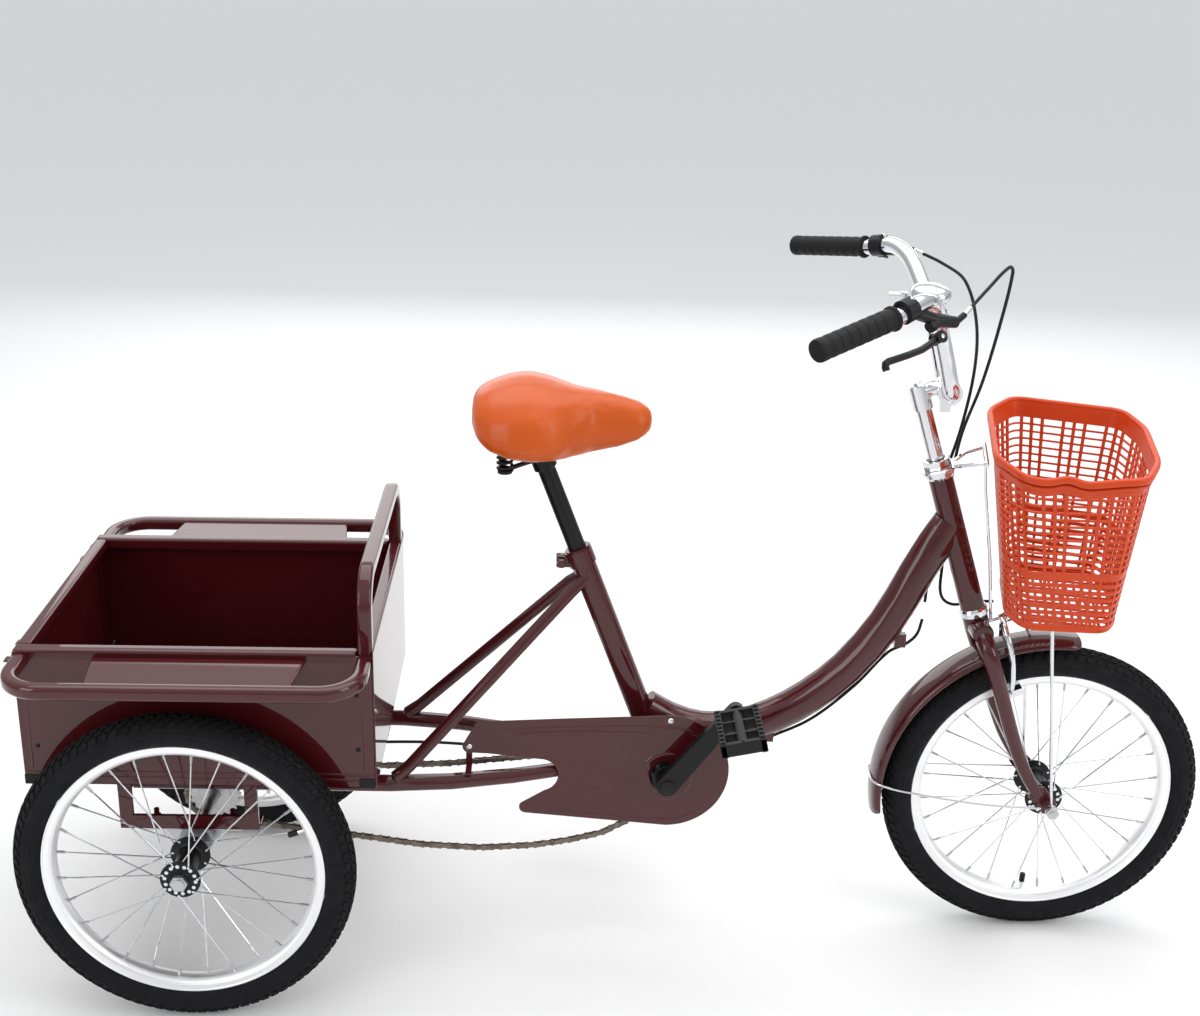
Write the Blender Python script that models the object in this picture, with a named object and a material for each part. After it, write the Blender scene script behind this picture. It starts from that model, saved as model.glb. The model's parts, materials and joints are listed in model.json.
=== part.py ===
"""Adult cargo tricycle with an 18 inch front wheel and two 18 inch rear wheels.

Lengths are in metres.  The model is laid out from the rear axle: X runs forward from it, Y to the
left, Z up from the ground.  The root empty then moves everything back by half the wheelbase, so
that the object's origin is on the ground, midway between the axles.
"""
from math import acos, atan2, cos, pi, radians, sin

import bmesh
import bpy
from mathutils import Matrix, Vector

# ---- driving dimensions ----------------------------------------------------------------------
WHEELBASE = 1.2015
HALF_TRACK = 0.2317
TYRE_RADIUS = 0.2286
TYRE_SECTION_RADIUS = 0.0235
RIM_RADIUS = 0.1886
RIM_DEPTH = 0.0170
RIM_HALF_WIDTH = 0.0145
HUB_FLANGE_RADIUS = 0.0270
HUB_HALF_LENGTH = 0.0310
SPOKES_PER_FLANGE = 14
SPOKE_RADIUS = 0.0010
WHEEL_SEGMENTS = 36

HEAD_ANGLE = radians(71.9)
HEAD_BASE = Vector((1.0764, 0.0, 0.5191))
HEAD_LENGTH = 0.2020
HEAD_RADIUS = 0.0170
STEERER_RADIUS = 0.0127
SEAT_ANGLE = radians(69.2)
SEAT_TUBE_TOP = Vector((0.5180, 0.0, 0.6000))
SEAT_TUBE_RADIUS = 0.0175
SEAT_POST_RADIUS = 0.0127
MAIN_TUBE_RADIUS = 0.0250
BOTTOM_BRACKET = Vector((0.6495, 0.0, 0.2745))

CRANK_LENGTH = 0.1500
CRANK_ANGLE = radians(52.6)
CHAIN_LINE = -0.0480
CHAINRING_RADIUS = 0.0728
SPROCKET_RADIUS = 0.0364
PEDAL_Y = 0.1425
PEDAL_TILT = radians(-12.0)

BAR_RADIUS = 0.0111
BAR_TURN = radians(-5.8)
BASKET_TURN = radians(-12.0)

BOX_REAR = -0.2130
BOX_FRONT = 0.2545
BOX_HALF_WIDTH = 0.2000
BOX_BOTTOM = 0.3330
BOX_TOP = 0.5300
BOX_RAIL = 0.0200
SHEET = 0.0020
SIDE_GUARD_HALF_WIDTH = 0.2940

GAP = 0.0003

# ---- colours ---------------------------------------------------------------------------------
COLOURS = {
    "maroon_paint": ((0.085, 0.010, 0.013), 0.16, 0.0),
    "rubber": ((0.012, 0.012, 0.013), 0.75, 0.0),
    "rim_alloy": ((0.72, 0.73, 0.75), 0.32, 1.0),
    "chrome": ((0.80, 0.81, 0.83), 0.10, 1.0),
    "steel": ((0.48, 0.48, 0.49), 0.35, 1.0),
    "black_metal": ((0.015, 0.015, 0.016), 0.35, 0.3),
    "black_plastic": ((0.018, 0.018, 0.019), 0.55, 0.0),
    "orange_vinyl": ((0.85, 0.19, 0.03), 0.45, 0.0),
    "orange_plastic": ((0.90, 0.12, 0.01), 0.38, 0.0),
    "chain_steel": ((0.14, 0.12, 0.10), 0.40, 0.9),
}


# ---- scene and materials ---------------------------------------------------------------------
def clear_scene():
    for old in list(bpy.data.objects):
        bpy.data.objects.remove(old, do_unlink=True)


def make_material(name):
    colour, roughness, metallic = COLOURS[name]
    material = bpy.data.materials.new(name)
    material.use_nodes = True
    shader = material.node_tree.nodes["Principled BSDF"]
    shader.inputs["Base Color"].default_value = (*colour, 1.0)
    shader.inputs["Roughness"].default_value = roughness
    shader.inputs["Metallic"].default_value = metallic
    return material


# ---- directions and paths --------------------------------------------------------------------
STEER_AXIS = Vector((-cos(HEAD_ANGLE), 0.0, sin(HEAD_ANGLE)))
SEAT_AXIS = Vector((-cos(SEAT_ANGLE), 0.0, sin(SEAT_ANGLE)))
Y_AXIS = Vector((0.0, 1.0, 0.0))
X_AXIS = Vector((1.0, 0.0, 0.0))
Z_AXIS = Vector((0.0, 0.0, 1.0))


def on_head(distance):
    """A point on the steering axis, measured up from the lower end of the head tube."""
    return HEAD_BASE + STEER_AXIS * distance


def frame_along(origin, direction):
    """A matrix whose Z runs along direction from origin."""
    turn = direction.normalized().to_track_quat("Z", "Y")
    return Matrix.Translation(origin) @ turn.to_matrix().to_4x4()


def steered(angle):
    """The turn about the steering axis by an angle."""
    turn = Matrix.Rotation(angle, 4, STEER_AXIS)
    return Matrix.Translation(HEAD_BASE) @ turn @ Matrix.Translation(-HEAD_BASE)


def arc(centre, radius, start, end, steps):
    """Points on a circle in a plane, angles in degrees."""
    angles = [radians(start + (end - start) * i / steps) for i in range(steps + 1)]
    return [(centre[0] + radius * cos(a), centre[1] + radius * sin(a)) for a in angles]


def smooth_path(points, per_span=4):
    """A smooth curve through points, read at per_span steps for each span."""
    points = [Vector(p) for p in points]
    count = len(points)
    slopes = []
    for i, point in enumerate(points):
        before = points[max(i - 1, 0)]
        after = points[min(i + 1, count - 1)]
        slopes.append((after - before).normalized())
    path = [points[0]]
    for i in range(count - 1):
        chord = (points[i + 1] - points[i]).length
        for step in range(1, per_span + 1):
            t = step / per_span
            value = points[i] * (2 * t ** 3 - 3 * t ** 2 + 1)
            value += slopes[i] * chord * (t ** 3 - 2 * t ** 2 + t)
            value += points[i + 1] * (3 * t ** 2 - 2 * t ** 3)
            value += slopes[i + 1] * chord * (t ** 3 - t ** 2)
            path.append(value)
    return path


def mirrored(points):
    """The same path on the other side of the XZ plane."""
    return [Vector((x, -y, z)) for x, y, z in points]


def rounded_corner(before, corner, after, radius, steps=4):
    """Arc points that replace a path's square corner."""
    before, corner, after = Vector(before), Vector(corner), Vector(after)
    start = corner + (before - corner).normalized() * radius
    end = corner + (after - corner).normalized() * radius
    centre = start + end - corner
    points = []
    for step in range(steps + 1):
        t = step / steps * pi / 2
        points.append(centre + (start - centre) * cos(t) + (end - centre) * sin(t))
    return points


# ---- solids ----------------------------------------------------------------------------------
def lathe(profile, matrix=Matrix(), segments=20):
    """Turns a profile of (radius, height) about the matrix's Z.

    A profile that starts and ends at radius 0 makes a solid, any other one a ring.
    """
    bm = bmesh.new()
    rings = []
    for radius, height in profile:
        if radius == 0.0:
            rings.append([bm.verts.new(matrix @ Vector((0.0, 0.0, height)))])
            continue
        ring = []
        for i in range(segments):
            a = 2 * pi * i / segments
            ring.append(bm.verts.new(matrix @ Vector((radius * cos(a), radius * sin(a), height))))
        rings.append(ring)
    pairs = list(zip(rings, rings[1:]))
    if profile[0][0] > 0.0:
        pairs.append((rings[-1], rings[0]))
    for lower, upper in pairs:
        for i in range(segments):
            j = (i + 1) % segments
            if len(lower) == 1:
                bm.faces.new((lower[0], upper[j], upper[i]))
            elif len(upper) == 1:
                bm.faces.new((lower[i], lower[j], upper[0]))
            else:
                bm.faces.new((lower[i], lower[j], upper[j], upper[i]))
    return bm


def rod(start, end, radius, segments=12):
    start, end = Vector(start), Vector(end)
    length = (end - start).length
    profile = [(0.0, 0.0), (radius, 0.0), (radius, length), (0.0, length)]
    return lathe(profile, frame_along(start, end - start), segments)


def pipe(start, end, outer, inner, segments=20):
    start, end = Vector(start), Vector(end)
    length = (end - start).length
    profile = [(inner, 0.0), (outer, 0.0), (outer, length), (inner, length)]
    return lathe(profile, frame_along(start, end - start), segments)


def circle_section(radius, sides):
    return [(radius * cos(2 * pi * i / sides), radius * sin(2 * pi * i / sides)) for i in range(sides)]


def square_section(size, chamfer):
    """A square with cut corners, centred on the path."""
    half = size / 2
    inner = half - chamfer
    return [(half, -inner), (half, inner), (inner, half), (-inner, half),
            (-half, inner), (-half, -inner), (-inner, -half), (inner, -half)]


def sweep(path, section, up=Z_AXIS, scales=None, closed=False):
    """Carries a section along a path; section x lies across, section y along up.

    Each entry of scales is a (wide, tall) pair for the section at that point of the path.
    """
    path = [Vector(p) for p in path]
    count = len(path)
    tangents = []
    for i in range(count):
        if closed:
            tangents.append((path[(i + 1) % count] - path[i - 1]).normalized())
        else:
            tangents.append((path[min(i + 1, count - 1)] - path[max(i - 1, 0)]).normalized())
    bm = bmesh.new()
    rings = []
    normal = Vector(up)
    for i in range(count):
        normal = (normal - tangents[i] * normal.dot(tangents[i])).normalized()
        side = tangents[i].cross(normal)
        wide, tall = scales[i] if scales else (1.0, 1.0)
        rings.append([bm.verts.new(path[i] + side * a * wide + normal * b * tall) for a, b in section])
    pairs = list(zip(rings, rings[1:]))
    if closed:
        pairs.append((rings[-1], rings[0]))
    sides = len(section)
    for lower, upper in pairs:
        for i in range(sides):
            j = (i + 1) % sides
            bm.faces.new((lower[i], lower[j], upper[j], upper[i]))
    if not closed:
        bm.faces.new(list(reversed(rings[0])))
        bm.faces.new(rings[-1])
    return bm


def tube(path, radius, sides=10, up=Z_AXIS, sizes=None):
    """A round bar along a path; sizes scales its radius at each point."""
    scales = [(size, size) for size in sizes] if sizes else None
    return sweep(path, circle_section(radius, sides), up, scales)


def block(low, high):
    """A box between two corners."""
    low, high = Vector(low), Vector(high)
    bm = bmesh.new()
    size = high - low
    matrix = Matrix.Translation((low + high) / 2) @ Matrix.Diagonal((*size, 1.0))
    bmesh.ops.create_cube(bm, size=1.0, matrix=matrix)
    return bm


def plate(outline, start, thickness, normal="Y"):
    """Extrudes an outline: (x, z) points along Y, (x, y) along Z, or (y, z) along X."""
    places = {
        "Y": lambda a, b, h: Vector((a, h, b)),
        "Z": lambda a, b, h: Vector((a, b, h)),
        "X": lambda a, b, h: Vector((h, a, b)),
    }
    place = places[normal]
    bm = bmesh.new()
    first = [bm.verts.new(place(a, b, start)) for a, b in outline]
    second = [bm.verts.new(place(a, b, start + thickness)) for a, b in outline]
    count = len(outline)
    for i in range(count):
        j = (i + 1) % count
        bm.faces.new((first[i], first[j], second[j], second[i]))
    bm.faces.new(list(reversed(first)))
    bm.faces.new(second)
    return bm


def loft(sections):
    """Skins a row of point rings and closes both ends."""
    bm = bmesh.new()
    rings = [[bm.verts.new(p) for p in ring] for ring in sections]
    count = len(rings[0])
    for lower, upper in zip(rings, rings[1:]):
        for i in range(count):
            j = (i + 1) % count
            bm.faces.new((lower[i], lower[j], upper[j], upper[i]))
    bm.faces.new(list(reversed(rings[0])))
    bm.faces.new(rings[-1])
    return bm


def merged(*parts):
    """Several separate solids in one mesh, for use as one cutter or one addition."""
    whole = bmesh.new()
    for part in parts:
        mesh = bpy.data.meshes.new("piece")
        part.to_mesh(mesh)
        whole.from_mesh(mesh)
        bpy.data.meshes.remove(mesh)
        part.free()
    return whole


def moved(bm, matrix):
    bmesh.ops.transform(bm, matrix=matrix, verts=bm.verts)
    return bm


def outward(bm):
    bmesh.ops.recalc_face_normals(bm, faces=bm.faces)
    return bm


def as_object(bm, name):
    mesh = bpy.data.meshes.new(name)
    outward(bm).to_mesh(mesh)
    bm.free()
    shape = bpy.data.objects.new(name, mesh)
    bpy.context.scene.collection.objects.link(shape)
    return shape


def combine(base, additions=(), cutters=()):
    """Adds solids to a base, then cuts others from it."""
    target = as_object(base, "base")
    tools = []
    for operation, solids in (("UNION", additions), ("DIFFERENCE", cutters)):
        for solid in solids:
            tool = as_object(solid, "tool")
            step = target.modifiers.new(operation, "BOOLEAN")
            step.operation = operation
            step.solver = "EXACT"
            step.object = tool
            tools.append(tool)
    graph = bpy.context.evaluated_depsgraph_get()
    mesh = bpy.data.meshes.new_from_object(target.evaluated_get(graph))
    result = bmesh.new()
    result.from_mesh(mesh)
    bmesh.ops.remove_doubles(result, verts=result.verts, dist=1e-6)
    bmesh.ops.dissolve_degenerate(result, edges=result.edges, dist=1e-6)
    bpy.data.meshes.remove(mesh)
    for used in [target, *tools]:
        bpy.data.objects.remove(used, do_unlink=True)
    return result


# ---- the assembly ----------------------------------------------------------------------------
class Assembly:
    """Keeps one empty for each moving body, on its joint, and hangs the nodes on them."""

    def __init__(self):
        self.materials = {name: make_material(name) for name in COLOURS}
        self.bodies = {}
        self.root = self.empty("tricycle", Vector((-WHEELBASE / 2, 0.0, 0.0)), None)

    def empty(self, name, location, parent):
        holder = bpy.data.objects.new(name, None)
        bpy.context.scene.collection.objects.link(holder)
        holder.location = location
        holder.parent = parent
        return holder

    def body(self, name, pivot):
        self.bodies[name] = (self.empty("body_" + name, Vector(pivot), self.root), Vector(pivot))

    def node(self, name, bm, material, body):
        holder, pivot = self.bodies[body]
        moved(bm, Matrix.Translation(-pivot))
        shape = as_object(bm, name)
        shape.data.materials.append(self.materials[material])
        shape.data.shade_smooth()
        shape.data.set_sharp_from_angle(angle=radians(35))
        shape.parent = holder
        return shape


# ---- wheels ----------------------------------------------------------------------------------
def wheel_frame(x, y):
    return frame_along(Vector((x, y, TYRE_RADIUS)), Y_AXIS)


def tyre(matrix):
    bead = RIM_RADIUS + 0.0005
    centre = TYRE_RADIUS - TYRE_SECTION_RADIUS
    angles = [radians(-56 + 292 * i / 8) for i in range(9)]
    section = [(centre + TYRE_SECTION_RADIUS * sin(a), TYRE_SECTION_RADIUS * cos(a)) for a in angles]
    section[0] = (bead, 0.0125)
    section[-1] = (bead, -0.0125)
    section[4] = (TYRE_RADIUS, 0.0)
    return lathe(section, matrix, WHEEL_SEGMENTS)


def rim(matrix):
    inner = RIM_RADIUS - RIM_DEPTH
    half = RIM_HALF_WIDTH
    section = [(inner, 0.006), (inner + 0.004, 0.0125), (RIM_RADIUS, half),
               (RIM_RADIUS, -half), (inner + 0.004, -0.0125), (inner, -0.006)]
    return lathe(section, matrix, WHEEL_SEGMENTS)


def hub_with_spokes(matrix, bore):
    """The hub shell and its crossed spokes, which end just inside the rim."""
    flange = HUB_FLANGE_RADIUS
    half = HUB_HALF_LENGTH
    shell = [(bore, -half - 0.003), (0.0130, -half - 0.003), (0.0135, -half), (flange, -half),
             (flange, -half + 0.003), (0.0160, -half + 0.006), (0.0160, half - 0.006),
             (flange, half - 0.003), (flange, half), (0.0135, half), (0.0130, half + 0.003),
             (bore, half + 0.003)]
    hub = lathe(shell, matrix, 18)
    hole_circle = flange - 0.0035
    reach = (RIM_RADIUS - RIM_DEPTH) * cos(pi / WHEEL_SEGMENTS) - GAP
    pitch = 2 * pi / SPOKES_PER_FLANGE
    groups = {1: [], -1: []}
    for side in (1, -1):
        for i in range(SPOKES_PER_FLANGE):
            lead = 1 if i % 2 else -1
            start_angle = pitch * (i + (0.25 if side > 0 else 0.75))
            end_angle = start_angle + lead * pitch
            height = side * (half - 0.0015) + lead * 0.0016
            start = Vector((hole_circle * cos(start_angle), hole_circle * sin(start_angle), height))
            end = Vector((reach * cos(end_angle), reach * sin(end_angle), side * 0.002))
            groups[lead].append(rod(matrix @ start, matrix @ end, SPOKE_RADIUS, 3))
    return combine(hub, [merged(*groups[1]), merged(*groups[-1])])


def build_wheels(trike):
    places = {
        "front": (WHEELBASE, 0.0, 0.0052, "front_wheel"),
        "right": (0.0, -HALF_TRACK, 0.0088, "right_wheel"),
        "left": (0.0, HALF_TRACK, 0.0088, "left_wheel"),
    }
    for side, (x, y, bore, body) in places.items():
        matrix = wheel_frame(x, y)
        trike.node(side + "_tyre", tyre(matrix), "rubber", body)
        trike.node(side + "_rim", rim(matrix), "rim_alloy", body)
        trike.node(side + "_hub_spokes", hub_with_spokes(matrix, bore), "chrome", body)


# ---- rear axle, bearings, brake --------------------------------------------------------------
AXLE_RADIUS = 0.0085
BEARING_Y = 0.1650
CARRIER_FLOOR = 0.2535


def hexagon_nut(y_start, y_end, radius, x, z):
    start = Vector((x, y_start, z))
    return rod(start, Vector((x, y_end, z)), radius, 6)


def build_rear_axle(trike):
    end = HALF_TRACK + HUB_HALF_LENGTH + 0.0033
    axle = rod((0, -end - 0.010, TYRE_RADIUS), (0, end + 0.010, TYRE_RADIUS), AXLE_RADIUS, 16)
    nuts = [hexagon_nut(s * end, s * (end + 0.007), 0.0120, 0, TYRE_RADIUS) for s in (1, -1)]
    trike.node("rear_axle", combine(axle, nuts), "steel", "right_wheel")
    bore = AXLE_RADIUS + GAP
    sprocket = pipe((0, CHAIN_LINE - 0.0015, TYRE_RADIUS), (0, CHAIN_LINE + 0.0015, TYRE_RADIUS),
                    SPROCKET_RADIUS - 0.0006, bore, 24)
    boss = pipe((0, CHAIN_LINE + 0.0010, TYRE_RADIUS), (0, CHAIN_LINE + 0.0160, TYRE_RADIUS),
                0.0180, bore, 24)
    trike.node("rear_sprocket", combine(sprocket, [boss]), "steel", "right_wheel")


def build_bearing(trike, side, name):
    """A bearing ring with its two-bolt flange under the carrier channel."""
    y = side * BEARING_Y
    ring = pipe((0, y - 0.0100, TYRE_RADIUS), (0, y + 0.0100, TYRE_RADIUS), 0.0235, 0.0100, 24)
    top = CARRIER_FLOOR - GAP
    foot = block((-0.066, y - 0.0110, top - 0.0040), (0.066, y + 0.0110, top))
    cheeks = plate([(-0.045, top - 0.001), (-0.018, 0.2150), (0.018, 0.2150), (0.045, top - 0.001)],
                   y - 0.0040, 0.0080)
    bore = rod((0, y - 0.02, TYRE_RADIUS), (0, y + 0.02, TYRE_RADIUS), 0.0100, 24)
    trike.node(name, combine(ring, [foot, cheeks], [bore]), "steel", "root")


def build_axle_carrier(trike):
    """Two cross beams under the box, with a hanging channel at each side for the bearings."""
    beams = []
    channels = []
    for x in (-0.089, 0.081):
        beams.append(block((x - 0.009, -0.1810, 0.3125), (x + 0.009, 0.1810, 0.3325)))
        for side in (1, -1):
            low, high = sorted((side * 0.1740, side * 0.1800))
            channels.append(block((x - 0.009, low, 0.2600), (x + 0.009, high, 0.3130)))
            low, high = sorted((side * 0.0830, side * 0.1050))
            channels.append(block((x - 0.009, low, 0.2895), (x + 0.009, high, 0.3130)))
    for side in (1, -1):
        low, high = sorted((side * 0.1490, side * 0.1800))
        channels.append(block((-0.098, low, CARRIER_FLOOR), (0.090, high, CARRIER_FLOOR + 0.0035)))
        low, high = sorted((side * 0.1765, side * 0.1801))
        channels.append(block((-0.0981, low, CARRIER_FLOOR), (0.0901, high, CARRIER_FLOOR + 0.0200)))
    ties = [block((-0.0890, side * 0.094 - 0.008, 0.3150), (0.0810, side * 0.094 + 0.008, 0.3310))
            for side in (1, -1)]
    bolts = []
    for side in (1, -1):
        for x in (-0.052, 0.052):
            base = Vector((x, side * BEARING_Y, CARRIER_FLOOR + 0.0030))
            bolts.append(rod(base, base + Z_AXIS * 0.0090, 0.0070, 6))
            bolts.append(rod(base, base + Z_AXIS * 0.0190, 0.0038, 8))
    carrier = combine(beams[0], [beams[1], *ties, *channels, *bolts])
    trike.node("axle_carrier", carrier, "maroon_paint", "root")


def build_band_brake(trike):
    """The brake's fixed cover on the axle, with its anchor and cable arm."""
    cover = pipe((0, 0.026, TYRE_RADIUS), (0, 0.046, TYRE_RADIUS), 0.0450, 0.0100, 28)
    anchor = block((-0.012, 0.030, 0.2650), (0.012, 0.034, 0.3110))
    arm = block((0.030, 0.032, 0.2400), (0.062, 0.036, 0.2500))
    trike.node("band_brake", combine(cover, [anchor, arm]), "black_metal", "root")


# ---- frame -----------------------------------------------------------------------------------
STAY_RADIUS = 0.0120
STAY_PATH = [(-0.100, 0.094, 0.2768), (0.260, 0.094, 0.2768), (0.345, 0.085, 0.2755),
             (0.430, 0.066, 0.2745), (0.500, 0.046, 0.2745), (0.560, 0.034, 0.2745),
             (0.640, 0.026, 0.2745)]
MAIN_TUBE_PATH = [(1.0345, 0.0, 0.6440), (1.0165, 0.0, 0.6130), (0.9943, 0.0, 0.5690),
                  (0.9568, 0.0, 0.4900), (0.9072, 0.0, 0.4200), (0.8564, 0.0, 0.3735),
                  (0.8068, 0.0, 0.3420), (0.7525, 0.0, 0.3215), (0.7017, 0.0, 0.3190),
                  (0.6560, 0.0, 0.3330), (0.6210, 0.0, 0.3530)]


def build_main_frame(trike):
    """The welded frame: head, main and seat tubes, bottom bracket, stays and cable stops."""
    head = rod(on_head(0.0), on_head(HEAD_LENGTH), HEAD_RADIUS, 20)
    path = smooth_path(MAIN_TUBE_PATH, 2)
    near_head = [max(0.0, 1.0 - i / 5) for i in range(len(path))]
    scales = [(1.0 + 0.06 * near, 1.0 - 0.30 * near) for near in near_head]
    main = sweep(path, circle_section(MAIN_TUBE_RADIUS, 14), Y_AXIS, scales)
    seat_low = SEAT_TUBE_TOP - SEAT_AXIS * 0.3450
    seat = rod(seat_low, SEAT_TUBE_TOP, SEAT_TUBE_RADIUS, 16)
    collar = rod(SEAT_TUBE_TOP - SEAT_AXIS * 0.0250, SEAT_TUBE_TOP - SEAT_AXIS * 0.0020, 0.0198, 18)
    ear_centre = SEAT_TUBE_TOP - SEAT_AXIS * 0.0150 + Vector((-0.0240, 0.0, -0.0060))
    ear_half = Vector((0.0100, 0.0070, 0.0080))
    lug = block(ear_centre - ear_half, ear_centre + ear_half)
    bolt_at = ear_centre + Vector((-0.0030, 0.0, 0.0))
    bolt = rod(bolt_at - Y_AXIS * 0.0160, bolt_at + Y_AXIS * 0.0160, 0.0035, 8)
    bolt_head = rod(bolt_at - Y_AXIS * 0.0150, bolt_at - Y_AXIS * 0.0060, 0.0068, 6)
    bolt_nut = rod(bolt_at + Y_AXIS * 0.0060, bolt_at + Y_AXIS * 0.0130, 0.0068, 6)
    shell = rod(BOTTOM_BRACKET - Y_AXIS * 0.034, BOTTOM_BRACKET + Y_AXIS * 0.034, 0.0205, 20)
    additions = [main, seat, collar, lug, bolt, bolt_head, bolt_nut, shell]
    for side in (1, -1):
        stay = [Vector((x, side * y, z)) for x, y, z in STAY_PATH]
        sizes = [1.0, 1.0, 0.98, 0.92, 0.86, 0.83, 0.83]
        additions.append(tube(stay, STAY_RADIUS, 10, Z_AXIS, sizes))
        upper = [Vector((0.5385, side * 0.0060, 0.5650)), Vector((0.5100, side * 0.0205, 0.5403)),
                 Vector((0.2877, side * 0.0900, 0.3035)), Vector((0.2680, side * 0.0940, 0.2860))]
        additions.append(tube(upper, 0.0091, 10, Y_AXIS, [0.95, 1.0, 1.0, 1.15]))
    for x, z in CABLE_STOPS:
        additions.append(block((x - 0.008, -0.005, z - 0.006), (x + 0.008, 0.005, z + 0.014)))
    head_bore = rod(on_head(-0.02), on_head(HEAD_LENGTH + 0.02), 0.0140, 20)
    post_bore = rod(seat_low + SEAT_AXIS * 0.045, SEAT_TUBE_TOP + SEAT_AXIS * 0.01, 0.0131, 18)
    shell_bore = rod(BOTTOM_BRACKET - Y_AXIS * 0.05, BOTTOM_BRACKET + Y_AXIS * 0.05, 0.0095, 20)
    cutters = [head_bore, post_bore, shell_bore]
    cutters.append(tube(smooth_path(REAR_CABLE_LOWER, 2), CABLE_RADIUS + 0.0006, 6))
    trike.node("main_frame", combine(head, additions, cutters), "maroon_paint", "root")


def build_headset(trike):
    upper = lathe([(0.0131, 0.0), (0.0180, 0.0), (0.0205, 0.0040), (0.0205, 0.0120), (0.0131, 0.0120)],
                  frame_along(on_head(HEAD_LENGTH + GAP), STEER_AXIS), 20)
    trike.node("headset_upper_cup", upper, "chrome", "root")
    lower = lathe([(0.0131, 0.0), (0.0200, 0.0), (0.0200, 0.0080), (0.0180, 0.0120), (0.0131, 0.0120)],
                  frame_along(on_head(-0.0120 - GAP), STEER_AXIS), 20)
    trike.node("headset_lower_cup", lower, "chrome", "root")
    nut = rod(on_head(HEAD_LENGTH + 0.0158), on_head(HEAD_LENGTH + 0.0280), 0.0190, 8)
    bore = rod(on_head(HEAD_LENGTH), on_head(HEAD_LENGTH + 0.04), 0.0131, 18)
    trike.node("headset_locknut", combine(nut, [], [bore]), "chrome", "steering")


# ---- chain guard and chain -------------------------------------------------------------------
GUARD_Y = -0.0625
GUARD_CENTRE = (0.6500, 0.2830)
GUARD_RADIUS = 0.0885
GUARD_TAB = (0.3690, 0.3180)
GUARD_TIP = (0.4495, 0.2215)
GUARD_NOTCH = (0.4700, 0.2740)


def guard_outline():
    outline = arc(GUARD_CENTRE, GUARD_RADIUS, -90, 90, 18)
    outline += [(0.5000, 0.3645), (0.3800, 0.3580)]
    outline += arc(GUARD_TAB, 0.0095, 150, 270, 5)
    outline += [(0.3950, 0.3075)]
    outline += arc(GUARD_NOTCH, 0.0255, 90, -75, 9)
    outline += [(0.4600, 0.2390)]
    outline += arc(GUARD_TIP, 0.0095, 110, 265, 6)
    return outline


def build_chain_guard(trike):
    body = plate(guard_outline(), GUARD_Y, 0.0020)
    hole = rod((BOTTOM_BRACKET.x, GUARD_Y - 0.01, BOTTOM_BRACKET.z),
               (BOTTOM_BRACKET.x, GUARD_Y + 0.01, BOTTOM_BRACKET.z), 0.0230, 24)
    x, z = GUARD_TAB
    strap = block((x - 0.0045, GUARD_Y + 0.0015, 0.2885), (x + 0.0045, GUARD_Y + 0.0035, z + 0.0040))
    foot = block((x - 0.0044, -0.0900, 0.2885), (x + 0.0044, GUARD_Y + 0.0030, 0.2900))
    screws = [rod((a, GUARD_Y - 0.0025, b), (a, GUARD_Y + 0.0010, b), 0.0048, 12)
              for a, b in (GUARD_TAB, (0.6532, 0.3630))]
    guard = combine(body, [strap, foot, *screws], [hole])
    trike.node("chain_guard", guard, "maroon_paint", "root")


def build_chain(trike):
    """The drive chain as a closed belt with its slack hanging in the lower run."""
    half = 0.0042
    ring = CHAINRING_RADIUS + half + GAP
    small = SPROCKET_RADIUS + half + GAP
    bx, bz = BOTTOM_BRACKET.x, BOTTOM_BRACKET.z
    path = arc((bx, bz), ring, -115, 108, 18)
    path += [(0.5600, 0.3240), (0.4640, 0.2975), (0.3400, 0.2830), (0.2000, 0.2750), (0.1000, 0.2715)]
    path += arc((0.0, TYRE_RADIUS), small, 88, 262, 12)
    path += [(0.0700, 0.1800), (0.1400, 0.1700), (0.2083, 0.1610), (0.2956, 0.1480),
             (0.3832, 0.1436), (0.4600, 0.1490), (0.5100, 0.1580), (0.5600, 0.1715)]
    points = [Vector((x, CHAIN_LINE, z)) for x, z in path]
    section = [(half, -0.0035), (half, 0.0035), (-half, 0.0035), (-half, -0.0035)]
    trike.node("chain", sweep(points, section, Y_AXIS, None, True), "chain_steel", "root")


# ---- cranks and pedals -----------------------------------------------------------------------
def pedal_centre(side):
    """The centre of a pedal: right is forward and up, left is opposite."""
    reach = CRANK_LENGTH if side < 0 else -CRANK_LENGTH
    offset = Vector((reach * cos(CRANK_ANGLE), side * PEDAL_Y, reach * sin(CRANK_ANGLE)))
    return BOTTOM_BRACKET + offset


def crank_arm(side):
    """A tapered link between the boss and the pedal eye, as an (x, z) outline."""
    centre = (BOTTOM_BRACKET.x, BOTTOM_BRACKET.z)
    eye = pedal_centre(side)
    direction = atan2(eye.z - centre[1], eye.x - centre[0])
    boss_radius, eye_radius = 0.0150, 0.0112
    tangent = acos((boss_radius - eye_radius) / CRANK_LENGTH) * 180 / pi
    heading = direction * 180 / pi
    outline = arc(centre, boss_radius, heading + tangent, heading + 360 - tangent, 10)
    outline += arc((eye.x, eye.z), eye_radius, heading - tangent, heading + tangent, 8)
    start = -0.0915 if side < 0 else 0.0795
    return plate(outline, start, 0.0120)


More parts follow.
